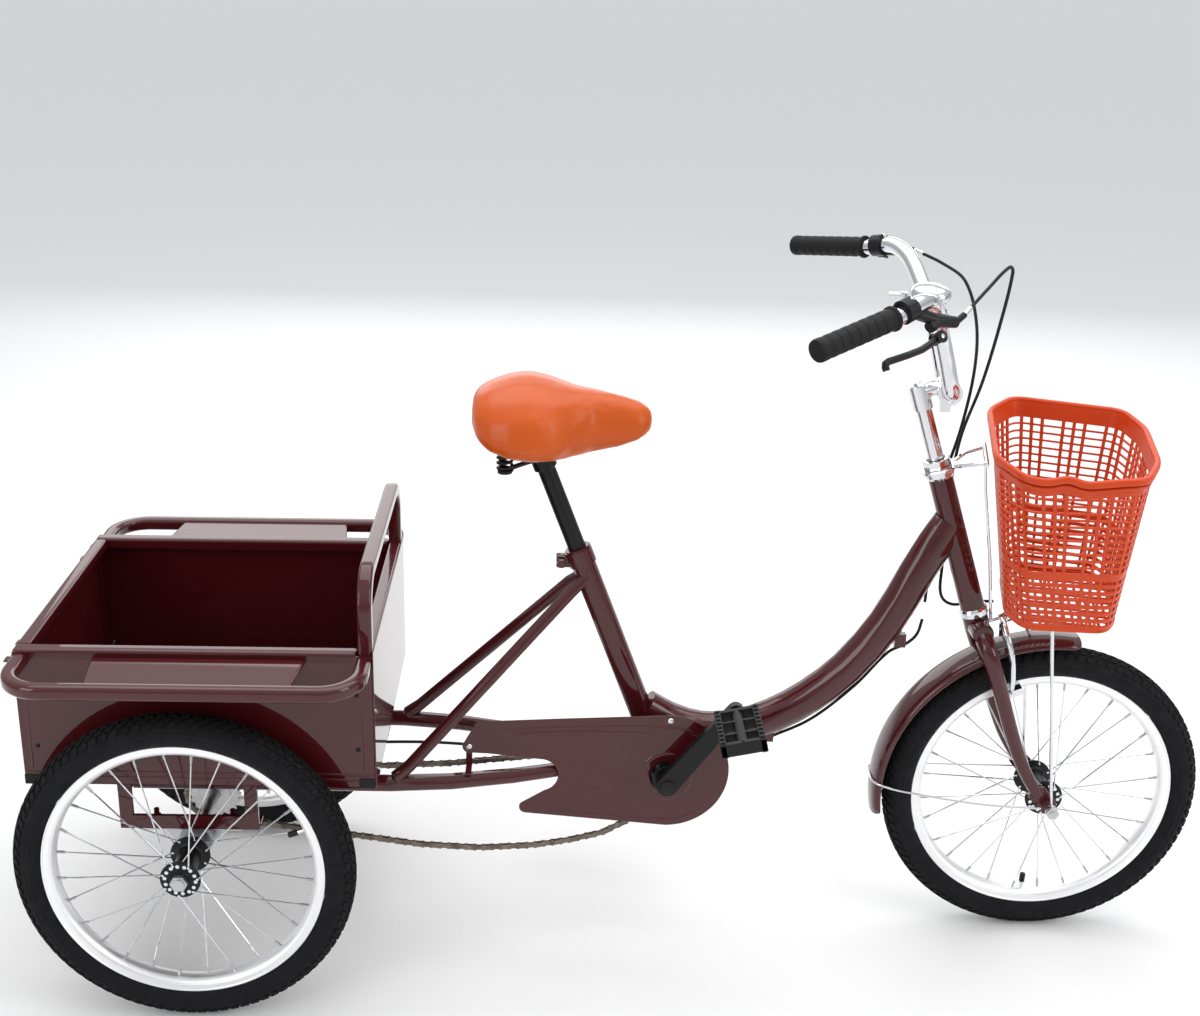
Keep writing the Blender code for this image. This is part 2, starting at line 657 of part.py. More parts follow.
def build_cranks(trike):
    centre = BOTTOM_BRACKET
    for side, name in ((-1, "crank_right"), (1, "crank_left")):
        eye = pedal_centre(side)
        pin = rod((eye.x, side * 0.0900, eye.z), (eye.x, side * 0.1860, eye.z), 0.0045, 10)
        parts = [pin]
        cap = rod((centre.x, side * 0.0900, centre.z), (centre.x, side * 0.0945, centre.z), 0.0105, 14)
        parts.append(cap)
        if side < 0:
            parts.append(rod((centre.x, -0.0810, centre.z), (centre.x, 0.0790, centre.z), 0.0085, 16))
        trike.node(name, combine(crank_arm(side), parts), "black_metal", "crank")
    ring = pipe((centre.x, CHAIN_LINE - 0.0015, centre.z), (centre.x, CHAIN_LINE + 0.0015, centre.z),
                CHAINRING_RADIUS - 0.0006, 0.0088, 36)
    boss = pipe((centre.x, CHAIN_LINE - 0.0010, centre.z), (centre.x, -0.0720, centre.z),
                0.0205, 0.0088, 24)
    trike.node("chainring", combine(ring, [boss]), "black_metal", "crank")


def build_pedal(trike, side, name):
    centre = pedal_centre(side)
    half_x, half_y, half_z = 0.0310, 0.0480, 0.0125
    low = centre - Vector((half_x, half_y, half_z))
    high = centre + Vector((half_x, half_y, half_z))
    cage = block(low, high)
    windows = []
    for along in (1, -1):
        window_low = centre + Vector((along * 0.0090, -0.0380, -0.02))
        window_high = centre + Vector((along * 0.0240, 0.0380, 0.02))
        corners = [sorted(pair) for pair in zip(window_low, window_high)]
        windows.append(block([c[0] for c in corners], [c[1] for c in corners]))
    inner = side * (PEDAL_Y - half_y - 0.01)
    outer = side * 0.1865
    bore = rod((centre.x, inner, centre.z), (centre.x, outer, centre.z), 0.0050, 12)
    pedal = combine(cage, [], [*windows, bore])
    tilt = Matrix.Translation(centre) @ Matrix.Rotation(PEDAL_TILT, 4, "Y") @ Matrix.Translation(-centre)
    trike.node(name, moved(pedal, tilt), "black_plastic", name)


# ---- seat ------------------------------------------------------------------------------------
SADDLE_SECTIONS = [
    (0.3690, 0.040, 0.815, 0.785), (0.3760, 0.064, 0.826, 0.771), (0.3920, 0.083, 0.834, 0.758),
    (0.4200, 0.096, 0.839, 0.751), (0.4500, 0.097, 0.840, 0.750), (0.4800, 0.086, 0.836, 0.751),
    (0.5080, 0.063, 0.829, 0.755), (0.5350, 0.044, 0.825, 0.760), (0.5700, 0.033, 0.820, 0.767),
    (0.5980, 0.027, 0.813, 0.774), (0.6145, 0.013, 0.802, 0.784),
]


def build_saddle(trike):
    """A pear-shaped pad, from crowned cross-sections with a flat underside."""
    rings = []
    for x, half_width, top, bottom in SADDLE_SECTIONS:
        height = top - bottom
        ring = [Vector((x, -half_width * 0.86, bottom)), Vector((x, half_width * 0.86, bottom))]
        for step in range(9):
            a = pi * step / 8
            rise = 0.16 + 0.84 * sin(a) ** 0.8
            ring.append(Vector((x, half_width * cos(a), bottom + height * rise)))
        rings.append(ring)
    trike.node("saddle", loft(rings), "orange_vinyl", "seat")


def build_seat_post(trike):
    top = SEAT_TUBE_TOP + SEAT_AXIS * 0.1420
    low = SEAT_TUBE_TOP - SEAT_AXIS * 0.1850
    trike.node("seat_post", rod(low, top, SEAT_POST_RADIUS, 16), "black_metal", "seat")


def build_saddle_frame(trike):
    """Clamp, rails and the two coil springs under the pad."""
    top = SEAT_TUBE_TOP + SEAT_AXIS * 0.1420
    clamp_low = top - SEAT_AXIS * 0.0200
    clamp = rod(clamp_low, top + SEAT_AXIS * 0.0010, 0.0200, 14)
    cross = rod((top.x, -0.0270, 0.7380), (top.x, 0.0270, 0.7380), 0.0085, 10)
    additions = [cross]
    for side in (1, -1):
        rail = [(0.4050, side * 0.0420, 0.7400), (0.4300, side * 0.0300, 0.7385),
                (top.x, side * 0.0220, 0.7380), (0.5200, side * 0.0200, 0.7420),
                (0.5750, side * 0.0120, 0.7610)]
        additions.append(tube(smooth_path(rail, 2), 0.0035, 8))
        additions.append(rod((0.4050, side * 0.0500, 0.7180), (0.4050, side * 0.0500, 0.7485), 0.0130, 12))
    additions.append(rod((0.5750, -0.0160, 0.7610), (0.5750, 0.0160, 0.7610), 0.0040, 8))
    post_bore = rod(clamp_low - SEAT_AXIS * 0.05, top + SEAT_AXIS * GAP, SEAT_POST_RADIUS + GAP, 16)
    frame = combine(clamp, additions, [post_bore])
    trike.node("saddle_frame", frame, "black_metal", "seat")


# ---- cargo box -------------------------------------------------------------------------------
HINGE = Vector((-0.2150, 0.0, 0.3400))
LATCH = Vector((-0.2190, 0.0, 0.5060))
RAIL_LOW = BOX_TOP - 0.0180


def build_box_floor(trike):
    low = (-0.2080, -(BOX_HALF_WIDTH - SHEET - GAP), BOX_BOTTOM + SHEET + GAP)
    high = (BOX_FRONT - SHEET - GAP, BOX_HALF_WIDTH - SHEET - GAP, BOX_BOTTOM + 2 * SHEET + GAP)
    trike.node("box_floor", block(low, high), "maroon_paint", "root")


def build_box_side(trike, side, name):
    """A folded side panel: top rail, sheet, bottom and rear flanges, with the latch keeper."""
    outer = side * BOX_HALF_WIDTH
    inner = side * (BOX_HALF_WIDTH - SHEET)
    rail = side * (BOX_HALF_WIDTH - BOX_RAIL)
    flange = side * (BOX_HALF_WIDTH - 0.0150)
    outline = [(outer, BOX_BOTTOM), (outer, BOX_TOP), (rail, BOX_TOP), (rail, RAIL_LOW),
               (inner, RAIL_LOW), (inner, BOX_BOTTOM + SHEET), (flange, BOX_BOTTOM + SHEET),
               (flange, BOX_BOTTOM)]
    front = 0.2325
    panel = plate(outline, BOX_REAR, front - BOX_REAR, "X")
    low, high = sorted((side * (BOX_HALF_WIDTH - SHEET), outer))
    strip = block((front - 0.001, low, BOX_BOTTOM), (BOX_FRONT - SHEET - GAP, high, BOX_TOP))
    low, high = sorted((side * 0.1800, side * 0.1990))
    rear_flange = block((BOX_REAR, low, BOX_BOTTOM), (BOX_REAR + SHEET, high, RAIL_LOW + 0.002))
    low, high = sorted((side * 0.1860, side * 0.1990))
    keeper = block((LATCH.x - 0.0060, low, LATCH.z - 0.0075), (BOX_REAR + 0.001, high, LATCH.z + 0.0075))
    link_low, link_high = sorted((side * 0.1940, outer))
    link = block((BOX_REAR - 0.002, link_low, LATCH.z - 0.0075),
                 (BOX_REAR + 0.010, link_high, LATCH.z + 0.0075))
    slot = block((LATCH.x - 0.020, side * 0.1925 - 0.010, LATCH.z - 0.0046),
                 (LATCH.x + 0.0046, side * 0.1925 + 0.010, LATCH.z + 0.0046))
    trike.node(name, combine(panel, [strip, rear_flange, link, keeper], [slot]), "maroon_paint", "root")


def build_box_front(trike):
    """The front panel with its top rail and the raised hoop, whose legs are corner posts."""
    face = BOX_FRONT - SHEET
    sheet = block((face, -BOX_HALF_WIDTH, BOX_BOTTOM), (BOX_FRONT, BOX_HALF_WIDTH, BOX_TOP))
    post_y = 0.1880
    size = 0.0190
    centre = face - size / 2 + 0.0005
    rail = block((face - 0.0180, -post_y, RAIL_LOW), (face + 0.0010, post_y, BOX_TOP))
    low, high = 0.3400, 0.6260
    corner_radius = 0.0450
    path = [Vector((centre, -post_y, low)), Vector((centre, -post_y, 0.5200))]
    middle = (centre, 0, high)
    path += rounded_corner((centre, -post_y, low), (centre, -post_y, high), middle, corner_radius, 5)
    path += rounded_corner(middle, (centre, post_y, high), (centre, post_y, low), corner_radius, 5)
    path += [Vector((centre, post_y, 0.5200)), Vector((centre, post_y, low))]
    hoop = sweep(path, square_section(size, 0.0030), X_AXIS)
    trike.node("box_front_hoop", combine(sheet, [rail, hoop]), "maroon_paint", "root")


def build_side_guard(trike, side, name):
    """The tube loop over a wheel, with the flat mudguard plate in its middle."""
    size = 0.0200
    centre = SIDE_GUARD_HALF_WIDTH - size / 2
    start = BOX_HALF_WIDTH + GAP
    height = 0.5150
    rear, front, radius = -0.2030, 0.2420, 0.0500
    path = [Vector((rear, start, height))]
    path += rounded_corner((rear, start, height), (rear, centre, height), (0, centre, height), radius, 5)
    path += rounded_corner((0, centre, height), (front, centre, height), (front, start, height), radius, 5)
    path += [Vector((front, start, height))]
    loop = sweep(path, square_section(size, 0.0050), Z_AXIS)
    cover = plate([(-0.1080, start), (0.1650, start), (0.1550, centre), (-0.0960, centre)],
                  height + 0.0040, 0.0020, "Z")
    guard = combine(loop, [cover])
    if side < 0:
        moved(guard, Matrix.Diagonal((1.0, -1.0, 1.0, 1.0)))
    trike.node(name, guard, "maroon_paint", "root")


def build_tailgate(trike):
    """The drop-down rear panel with its top rail, hinge roll and latch lugs."""
    half = BOX_HALF_WIDTH - BOX_RAIL - 0.0006
    rear = BOX_REAR
    outline = [(rear, 0.3380), (rear, BOX_TOP), (rear + 0.0180, BOX_TOP), (rear + 0.0180, RAIL_LOW),
               (rear + SHEET, RAIL_LOW), (rear + SHEET, 0.3380)]
    panel = plate(outline, -half, 2 * half)
    roll = rod((HINGE.x, -half, HINGE.z), (HINGE.x, half, HINGE.z), 0.0042, 10)
    lugs = []
    bores = []
    for side in (1, -1):
        low, high = sorted((side * 0.1380, side * 0.1500))
        lugs.append(block((LATCH.x - 0.0070, low, LATCH.z - 0.0080), (rear + 0.0010, high, LATCH.z + 0.0080)))
        bores.append(rod((LATCH.x, side * 0.1300, LATCH.z), (LATCH.x, side * 0.1600, LATCH.z), 0.0043, 12))
    trike.node("tailgate", combine(panel, [roll, *lugs], bores), "maroon_paint", "tailgate")
    for side, name in ((-1, "latch_right"), (1, "latch_left")):
        bolt = rod((LATCH.x, side * 0.1280, LATCH.z), (LATCH.x, side * 0.2030, LATCH.z), 0.0040, 12)
        collar = rod((LATCH.x, side * 0.1680, LATCH.z), (LATCH.x, side * 0.1745, LATCH.z), 0.0055, 12)
        trike.node(name, combine(bolt, [collar]), "black_metal", name)


# ---- fork, fender and front axle -------------------------------------------------------------
LEG_Y = 0.0500
CROWN_CENTRE = on_head(-0.0300)
CALIPER_AXIS = Vector((sin(HEAD_ANGLE), 0.0, cos(HEAD_ANGLE)))
CALIPER_PIVOT = CROWN_CENTRE + CALIPER_AXIS * 0.0360
LEG_PATH = [(1.0880, 0.0240, 0.4870), (1.0915, 0.0440, 0.4730), (1.1020, LEG_Y, 0.4440),
            (1.1136, LEG_Y, 0.4121), (1.1381, LEG_Y, 0.3413), (1.1600, LEG_Y, 0.2880),
            (1.1850, LEG_Y, 0.2450)]


def build_fork(trike):
    steerer = rod(on_head(-0.0300), on_head(HEAD_LENGTH + 0.0285), STEERER_RADIUS, 18)
    race = rod(on_head(-0.0310), on_head(-0.0126), 0.0178, 18)
    crown = [CROWN_CENTRE + Y_AXIS * y for y in (-0.034, 0.034)]
    brake_bolt = rod(CROWN_CENTRE, CROWN_CENTRE + CALIPER_AXIS * 0.0560, 0.0030, 8)
    bolt_nut = rod(CROWN_CENTRE + CALIPER_AXIS * 0.0516, CROWN_CENTRE + CALIPER_AXIS * 0.0565, 0.0062, 6)
    additions = [race, tube(crown, 0.0150, 12, STEER_AXIS), brake_bolt, bolt_nut]
    for side in (1, -1):
        leg = smooth_path([Vector((x, side * y, z)) for x, y, z in LEG_PATH], 2)
        sizes = [1.0 - 0.36 * i / (len(leg) - 1) for i in range(len(leg))]
        additions.append(tube(leg, 0.0132, 10, X_AXIS, sizes))
        low, high = sorted((side * (LEG_Y - 0.0030), side * (LEG_Y + 0.0030)))
        outline = [(1.1750, 0.2550), (1.1720, 0.2420), (1.1940, 0.2180), (1.2100, 0.2180),
                   (1.2140, 0.2300), (1.2080, 0.2420), (1.1930, 0.2580)]
        additions.append(plate(outline, low, high - low))
    axle_bore = rod((WHEELBASE, -0.08, TYRE_RADIUS), (WHEELBASE, 0.08, TYRE_RADIUS), 0.0051, 12)
    quill_bore = rod(on_head(HEAD_LENGTH - 0.1300), on_head(HEAD_LENGTH + 0.05), BAR_RADIUS + GAP, 18)
    fork = combine(steerer, additions, [quill_bore, axle_bore])
    trike.node("fork", fork, "maroon_paint", "steering")


def fender_point(angle, radius, y=0.0):
    a = radians(angle)
    return Vector((WHEELBASE + radius * cos(a), y, TYRE_RADIUS + radius * sin(a)))


def build_front_fender(trike):
    """A crowned strip over the wheel, with the wire stay round its tail."""
    edge = [(-0.0280, 0.2370), (-0.0250, 0.2430), (-0.0150, 0.2465), (0.0, 0.2475),
            (0.0150, 0.2465), (0.0250, 0.2430), (0.0280, 0.2370)]
    inner = [(y * 0.94, r - 0.0018) for y, r in reversed(edge)]
    rings = []
    for step in range(19):
        angle = 83.0 + (189.0 - 83.0) * step / 18
        rings.append([fender_point(angle, r, y) for y, r in edge + inner])
    strip = loft(rings)
    tail = fender_point(176.0, 0.2482)
    half = [(WHEELBASE - 0.0130, 0.0600, TYRE_RADIUS), (WHEELBASE - 0.1000, 0.0560, 0.2320),
            (WHEELBASE - 0.2100, 0.0400, 0.2420), (tail.x + 0.0080, 0.0300, tail.z),
            (tail.x, 0.0180, tail.z)]
    route = half + [(tail.x - 0.0006, 0.0, tail.z)] + [(x, -y, z) for x, y, z in reversed(half)]
    wire = tube(smooth_path(route, 2), 0.0016, 6)
    trike.node("front_fender", combine(strip, [wire]), "maroon_paint", "steering")


def build_front_axle(trike):
    end = 0.0765
    axle = rod((WHEELBASE, -end, TYRE_RADIUS), (WHEELBASE, end, TYRE_RADIUS), 0.0047, 14)
    nuts = []
    for side in (1, -1):
        nuts.append(hexagon_nut(side * 0.0645, side * 0.0670, 0.0096, WHEELBASE, TYRE_RADIUS))
        nuts.append(hexagon_nut(side * 0.0706, side * 0.0750, 0.0094, WHEELBASE, TYRE_RADIUS))
        nuts.append(hexagon_nut(side * 0.0346, side * 0.0460, 0.0084, WHEELBASE, TYRE_RADIUS))
    trike.node("front_axle", combine(axle, [merged(*nuts)]), "steel", "steering")


# ---- basket ----------------------------------------------------------------------------------
BASKET_BOTTOM = 0.5400
BASKET_RIM = 0.7850
BASKET_WALL = 0.0040
RIM_PLAN = [(1.0760, 0.0880), (1.1110, 0.1460), (1.2570, 0.1240), (1.2780, 0.0600)]
BOTTOM_PLAN = [(1.1140, 0.0560), (1.1360, 0.0960), (1.2450, 0.0850), (1.2600, 0.0520)]


def basket_ring(height, inset):
    """The basket's eight-sided outline at a height, drawn in by the inset."""
    t = (height - BASKET_BOTTOM) / (BASKET_RIM - BASKET_BOTTOM)
    middle = 1.1750
    half = []
    for (x0, y0), (x1, y1) in zip(BOTTOM_PLAN, RIM_PLAN):
        x = x0 + (x1 - x0) * t
        y = y0 + (y1 - y0) * t
        x -= inset if x > middle else -inset
        half.append((x, y - inset))
    outline = half + [(x, -y) for x, y in reversed(half)]
    return [Vector((x, y, height)) for x, y in outline]


def build_basket(trike):
    """A tapered tub, open at the top."""
    floor = BASKET_BOTTOM + BASKET_WALL
    rings = [basket_ring(BASKET_BOTTOM, 0.0), basket_ring(BASKET_RIM, 0.0),
             basket_ring(BASKET_RIM, BASKET_WALL), basket_ring(floor, BASKET_WALL)]
    tub = moved(loft(rings), steered(BASKET_TURN))
    trike.node("basket", tub, "orange_plastic", "steering")


def build_basket_bracket(trike):
    """A plate under the locknut with two arms to the basket's back and a wire prop to the crown."""
    base = on_head(HEAD_LENGTH + 0.0126)
    ring = rod(base, on_head(HEAD_LENGTH + 0.0155), 0.0260, 18)
    arms = []
    for side in (1, -1):
        arm = [base + STEER_AXIS * 0.0015 + CALIPER_AXIS * 0.0230 + Y_AXIS * side * 0.0100,
               Vector((1.0450, side * 0.0240, 0.7400)), Vector((1.0690, side * 0.0300, 0.7480))]
        arms.append(tube(arm, 0.0030, 6))
    bar = rod((1.0700, -0.0400, 0.7480), (1.0700, 0.0400, 0.7480), 0.0032, 8)
    prop = [(1.0700, 0.0, 0.7480), (1.0745, 0.0, 0.7000), (1.0930, 0.0, 0.5900), (1.1000, 0.0, 0.5300),
            (1.1040, 0.0, 0.5000)]
    arms += [bar, tube(smooth_path(prop, 2), 0.0022, 6, Y_AXIS)]
    bore = rod(on_head(HEAD_LENGTH), on_head(HEAD_LENGTH + 0.03), 0.0131, 18)
    bracket = combine(ring, arms, [bore])
    trike.node("basket_bracket", moved(bracket, steered(BASKET_TURN)), "chrome", "steering")


def build_basket_stay(trike, side, name):
    """A rod from the front axle up to the basket's bottom."""
    eye = Vector((WHEELBASE, side * 0.0688, TYRE_RADIUS))
    ring = pipe(eye - Y_AXIS * 0.0013, eye + Y_AXIS * 0.0013, 0.0090, 0.0051, 14)
    path = [eye + Vector((-0.0010, 0.0, 0.0075)), Vector((1.1960, side * 0.0680, 0.2700)),
            Vector((1.1700, side * 0.0580, BASKET_BOTTOM - 0.0040))]
    stay = tube(path, 0.0026, 8, Y_AXIS, [0.45, 1.0, 1.0])
    trike.node(name, combine(ring, [stay]), "chrome", "steering")


# ---- front brake -----------------------------------------------------------------------------
PAD_TILT = radians(-22.0)


def build_caliper_arm(trike, side, name, depth):
    """One arm of the side-pull brake, from the centre bolt round the tyre to its pad."""
    centre = CALIPER_PIVOT + CALIPER_AXIS * depth
    path = [centre + Y_AXIS * side * 0.0050, Vector((1.1190 + depth, side * 0.0250, 0.4950)),
            Vector((1.1290 + depth * 0.5, side * 0.0345, 0.4600)),
            Vector((1.1345, side * 0.0345, 0.4200)), Vector((1.1345, side * 0.0300, 0.3970))]
    arm = tube(smooth_path(path, 2), 0.0044, 8, X_AXIS)
    boss = rod(centre - CALIPER_AXIS * 0.0048, centre + CALIPER_AXIS * 0.0048, 0.0090, 14)
    bore = rod(centre - CALIPER_AXIS * 0.0200, centre + CALIPER_AXIS * 0.0200, 0.0034, 12)
    low, high = sorted((side * 0.0175, side * 0.0330))
    pad = block((-0.0190, low, -0.0050), (0.0190, high, 0.0050))
    moved(pad, Matrix.Translation((1.1345, 0.0, 0.3950)) @ Matrix.Rotation(PAD_TILT, 4, "Y"))
    trike.node(name, combine(boss, [arm, pad], [bore]), "chrome", name)


# ---- stem, handlebar, levers, bell -----------------------------------------------------------
BAR_CENTRE = Vector((1.0125, 0.0, 0.8360))
ELBOW = on_head(0.3284)
BAR_HALF = [(1.0125, 0.0195, 0.8360), (1.0125, 0.0250, 0.8362), (1.0085, 0.0410, 0.8500),
            (0.9970, 0.0470, 0.8930), (0.9850, 0.0560, 0.9320), (0.9750, 0.0850, 0.9600),
            (0.9610, 0.1250, 0.9860), (0.9410, 0.1580, 0.9950), (0.9166, 0.1814, 0.9860)]
GRIP_START = Vector((0.9077, 0.1893, 0.9841))
GRIP_END = Vector((0.8152, 0.2714, 0.9646))
BELL_BASE = Vector((0.9640, -0.0800, 0.9800))
BELL_UP = Vector((0.10, 0.0, 1.0)).normalized()
BELL_LEVER_PIVOT = BELL_BASE + Vector((-0.0320, 0.0, 0.0060))


def build_stem(trike):
    """The quill, its elbow and the short arm to the bar clamp."""
    quill = rod(on_head(HEAD_LENGTH - 0.0900), on_head(0.3400), BAR_RADIUS, 18)
    knuckle = rod(on_head(0.3050), on_head(0.3390), 0.0138, 16)
    bolt = rod(on_head(0.3380), on_head(0.3440), 0.0062, 6)
    arm = tube([ELBOW, ELBOW + Vector((0.0180, 0.0, 0.0065)), BAR_CENTRE], 0.0105, 12, Y_AXIS)
    clamp = rod(BAR_CENTRE - Y_AXIS * 0.0190, BAR_CENTRE + Y_AXIS * 0.0190, 0.0165, 18)
    pinch = block(BAR_CENTRE + Vector((-0.0100, -0.0090, -0.0290)),
                  BAR_CENTRE + Vector((0.0040, 0.0090, -0.0100)))
    bore = rod(BAR_CENTRE - Y_AXIS * 0.03, BAR_CENTRE + Y_AXIS * 0.03, BAR_RADIUS + GAP, 18)
    stem = combine(quill, [knuckle, bolt, arm, clamp, pinch], [bore])
    trike.node("stem", moved(stem, steered(BAR_TURN)), "chrome", "stem")


def bar_half_path():
    """The left half of the bar's centre line, from the clamp to the end under the grip."""
    return smooth_path(BAR_HALF, 2) + [GRIP_START, GRIP_END]


def build_handlebar(trike):
    left = bar_half_path()
    bar = tube(list(reversed(mirrored(left))) + left, BAR_RADIUS, 12, X_AXIS)
    trike.node("handlebar", moved(bar, steered(BAR_TURN)), "chrome", "stem")


def build_grip(trike, side, name):
    start, end = GRIP_START.copy(), GRIP_END.copy()
    start.y *= side
    end.y *= side
    direction = (end - start).normalized()
    inner = BAR_RADIUS + 0.0006
    length = (end - start).length
    profile = [(0.0, length + 0.0006), (inner, length + 0.0006), (inner, 0.0), (0.0160, 0.0),
               (0.0160, 0.0050), (0.0143, 0.0090), (0.0143, length), (0.0130, length + 0.0040),
               (0.0, length + 0.0040)]
    grip = lathe(profile, frame_along(start, direction), 16)
    trike.node(name, moved(grip, steered(BAR_TURN)), "rubber", "stem")


LEVER_MOUNT = Vector((0.9245, 0.1745, 0.9905))
LEVER_PIVOT = {-1: Vector((0.9662, -0.1628, 0.9540)), 1: Vector((0.9353, 0.2069, 0.9741))}
LEVER_TIP = {-1: Vector((0.8975, -0.2300, 0.9390)), 1: Vector((0.8700, 0.2650, 0.9605))}
BARREL = {-1: Vector((0.9975, -0.1275, 0.9715)), 1: Vector((0.9675, 0.1694, 0.9858))}


def flipped(point, side):
    return Vector((point.x, point.y * side, point.z))


def adjuster_heading(side):
    return (BARREL[side] - LEVER_PIVOT[side]).normalized()


def build_lever_body(trike, side, name):
    """The clamp band on the bar and the bracket that carries the lever and cable adjuster."""
    mount = flipped(LEVER_MOUNT, side)
    along = (flipped(GRIP_START, side) - flipped(Vector(BAR_HALF[-2]), side)).normalized()
    band = rod(mount - along * 0.0085, mount + along * 0.0085, 0.0155, 16)
    barrel, pivot = BARREL[side], LEVER_PIVOT[side]
    heading = adjuster_heading(side)
    inward = lever_axis(side).cross(LEVER_TIP[side] - pivot).normalized()
    spine = [pivot + inward * 0.0170 - heading * 0.0060, pivot + inward * 0.0170 + heading * 0.0120,
             barrel - heading * 0.0120]
    bracket = tube(spine, 0.0092, 10, Z_AXIS, [0.8, 1.0, 0.8])
    arm = rod(mount, spine[1], 0.0080, 10)
    adjuster = rod(barrel - heading * 0.0160, barrel + heading * 0.0060, 0.0042, 10)
    bar_path = [flipped(p, side) for p in bar_half_path()[-9:-1]]
    clearance = tube(bar_path, BAR_RADIUS + 0.0006, 12, X_AXIS)
    body = combine(band, [arm, bracket, adjuster], [clearance])
    trike.node(name, moved(body, steered(BAR_TURN)), "black_metal", "stem")


def lever_axis(side):
    """The hinge direction that swings a lever's blade straight at its grip."""
    blade = LEVER_TIP[side] - LEVER_PIVOT[side]
    start, end = flipped(GRIP_START, side), flipped(GRIP_END, side)
    along = (end - start).normalized()
    tip = LEVER_TIP[side] - start
    return blade.cross(along * tip.dot(along) - tip).normalized()


def build_lever(trike, side, name):
    pivot, tip = LEVER_PIVOT[side], LEVER_TIP[side]
    axis = lever_axis(side)
    boss = rod(pivot - axis * 0.0050, pivot + axis * 0.0050, 0.0070, 12)
    away = axis.cross(pivot - tip).normalized()
    path = smooth_path([pivot, pivot.lerp(tip, 0.35) + away * 0.0040, pivot.lerp(tip, 0.85), tip,
                        tip + away * 0.0080 + (tip - pivot) * 0.03], 2)
    blade = tube(path, 0.0046, 8, Z_AXIS)
    trike.node(name, moved(combine(boss, [blade]), steered(BAR_TURN)), "black_metal", name)


def build_bell(trike):
    """A domed bell on a strap over the right bend, with its thumb lever apart."""
    dome = lathe([(0.0, 0.0), (0.0220, 0.0), (0.0245, 0.0030), (0.0260, 0.0050), (0.0260, 0.0090),
                  (0.0235, 0.0150), (0.0150, 0.0195), (0.0, 0.0210)], frame_along(BELL_BASE, BELL_UP), 20)
    foot = BELL_BASE - Vector((-0.0050, 0.0, 0.0120))
    neck = rod(foot, BELL_BASE + BELL_UP * 0.001, 0.0062, 10)
    bar_path = [flipped(p, -1) for p in bar_half_path()[6:14]]
    strap = tube(bar_path[3:5], BAR_RADIUS + 0.0034, 14, X_AXIS)
    clearance = tube(bar_path, BAR_RADIUS + 0.0006, 12, X_AXIS)
    bell = combine(dome, [neck, strap], [clearance])
    trike.node("bell", moved(bell, steered(BAR_TURN)), "chrome", "stem")
    post = rod(BELL_LEVER_PIVOT - BELL_UP * 0.0030, BELL_LEVER_PIVOT + BELL_UP * 0.0030, 0.0045, 12)
    blade = block(BELL_LEVER_PIVOT - Vector((0.0190, 0.0060, 0.0012)),
                  BELL_LEVER_PIVOT + Vector((0.0, 0.0060, 0.0012)))
    lever = combine(post, [blade])
    trike.node("bell_lever", moved(lever, steered(BAR_TURN)), "chrome", "bell_lever")


# ---- brake cables ----------------------------------------------------------------------------
CABLE_RADIUS = 0.0022
CABLE_STOPS = ((0.9790, 0.4600), (0.8000, 0.3060))
FRONT_CABLE = [(1.0250, -0.0950, 0.9950), (1.0560, -0.0700, 1.0180), (1.0640, -0.0600, 1.0080),
               (1.0600, -0.0400, 0.9300), (1.0520, -0.0180, 0.8500), (1.0400, 0.0100, 0.7700),
               (1.0380, 0.0300, 0.7000), (1.0400, 0.0360, 0.6200), (1.0380, 0.0340, 0.5600),
               (1.0400, 0.0320, 0.5200), (1.0600, 0.0400, 0.5020), (1.0900, 0.0420, 0.5060),
               (1.1150, 0.0300, 0.5120)]
REAR_CABLE_UPPER = [(1.0250, 0.1350, 0.9780), (1.0500, 0.1060, 0.9600), (1.0620, 0.0740, 0.9100),
                    (1.0600, 0.0520, 0.8500), (1.0480, 0.0440, 0.7700), (1.0300, 0.0480, 0.6800),
                    (1.0280, 0.0500, 0.6100), (1.0240, 0.0480, 0.5500), (1.0200, 0.0400, 0.5050)]
REAR_CABLE_LOWER = [(1.0160, 0.0300, 0.4820), (1.0060, 0.0120, 0.4680), (0.9900, 0.0, 0.4590),
                    (0.9640, 0.0, 0.4440), (0.9200, 0.0, 0.3900), (0.8600, 0.0, 0.3350),
                    (0.8000, 0.0, 0.3035), (0.7400, 0.0, 0.2700), (0.7000, 0.0080, 0.2450),
                    (0.6400, 0.0200, 0.2420), (0.5600, 0.0200, 0.2500), (0.4400, 0.0260, 0.2640),
                    (0.3000, 0.0340, 0.2700), (0.1500, 0.0400, 0.2600), (0.0660, 0.0400, 0.2470)]


def adjuster_end(side):
    """The point just off a lever's cable adjuster, where its cable starts."""
    point = BARREL[side] + adjuster_heading(side) * 0.0085
    return [steered(BAR_TURN) @ point]


def build_cables(trike):
    routes = (
        ("front_brake_cable", adjuster_end(-1) + FRONT_CABLE, "steering"),
        ("rear_brake_cable_upper", adjuster_end(1) + REAR_CABLE_UPPER, "steering"),
        ("rear_brake_cable_lower", REAR_CABLE_LOWER, "root"),
    )
    for name, route, body in routes:
        trike.node(name, tube(smooth_path(route, 2), CABLE_RADIUS, 6), "black_plastic", body)


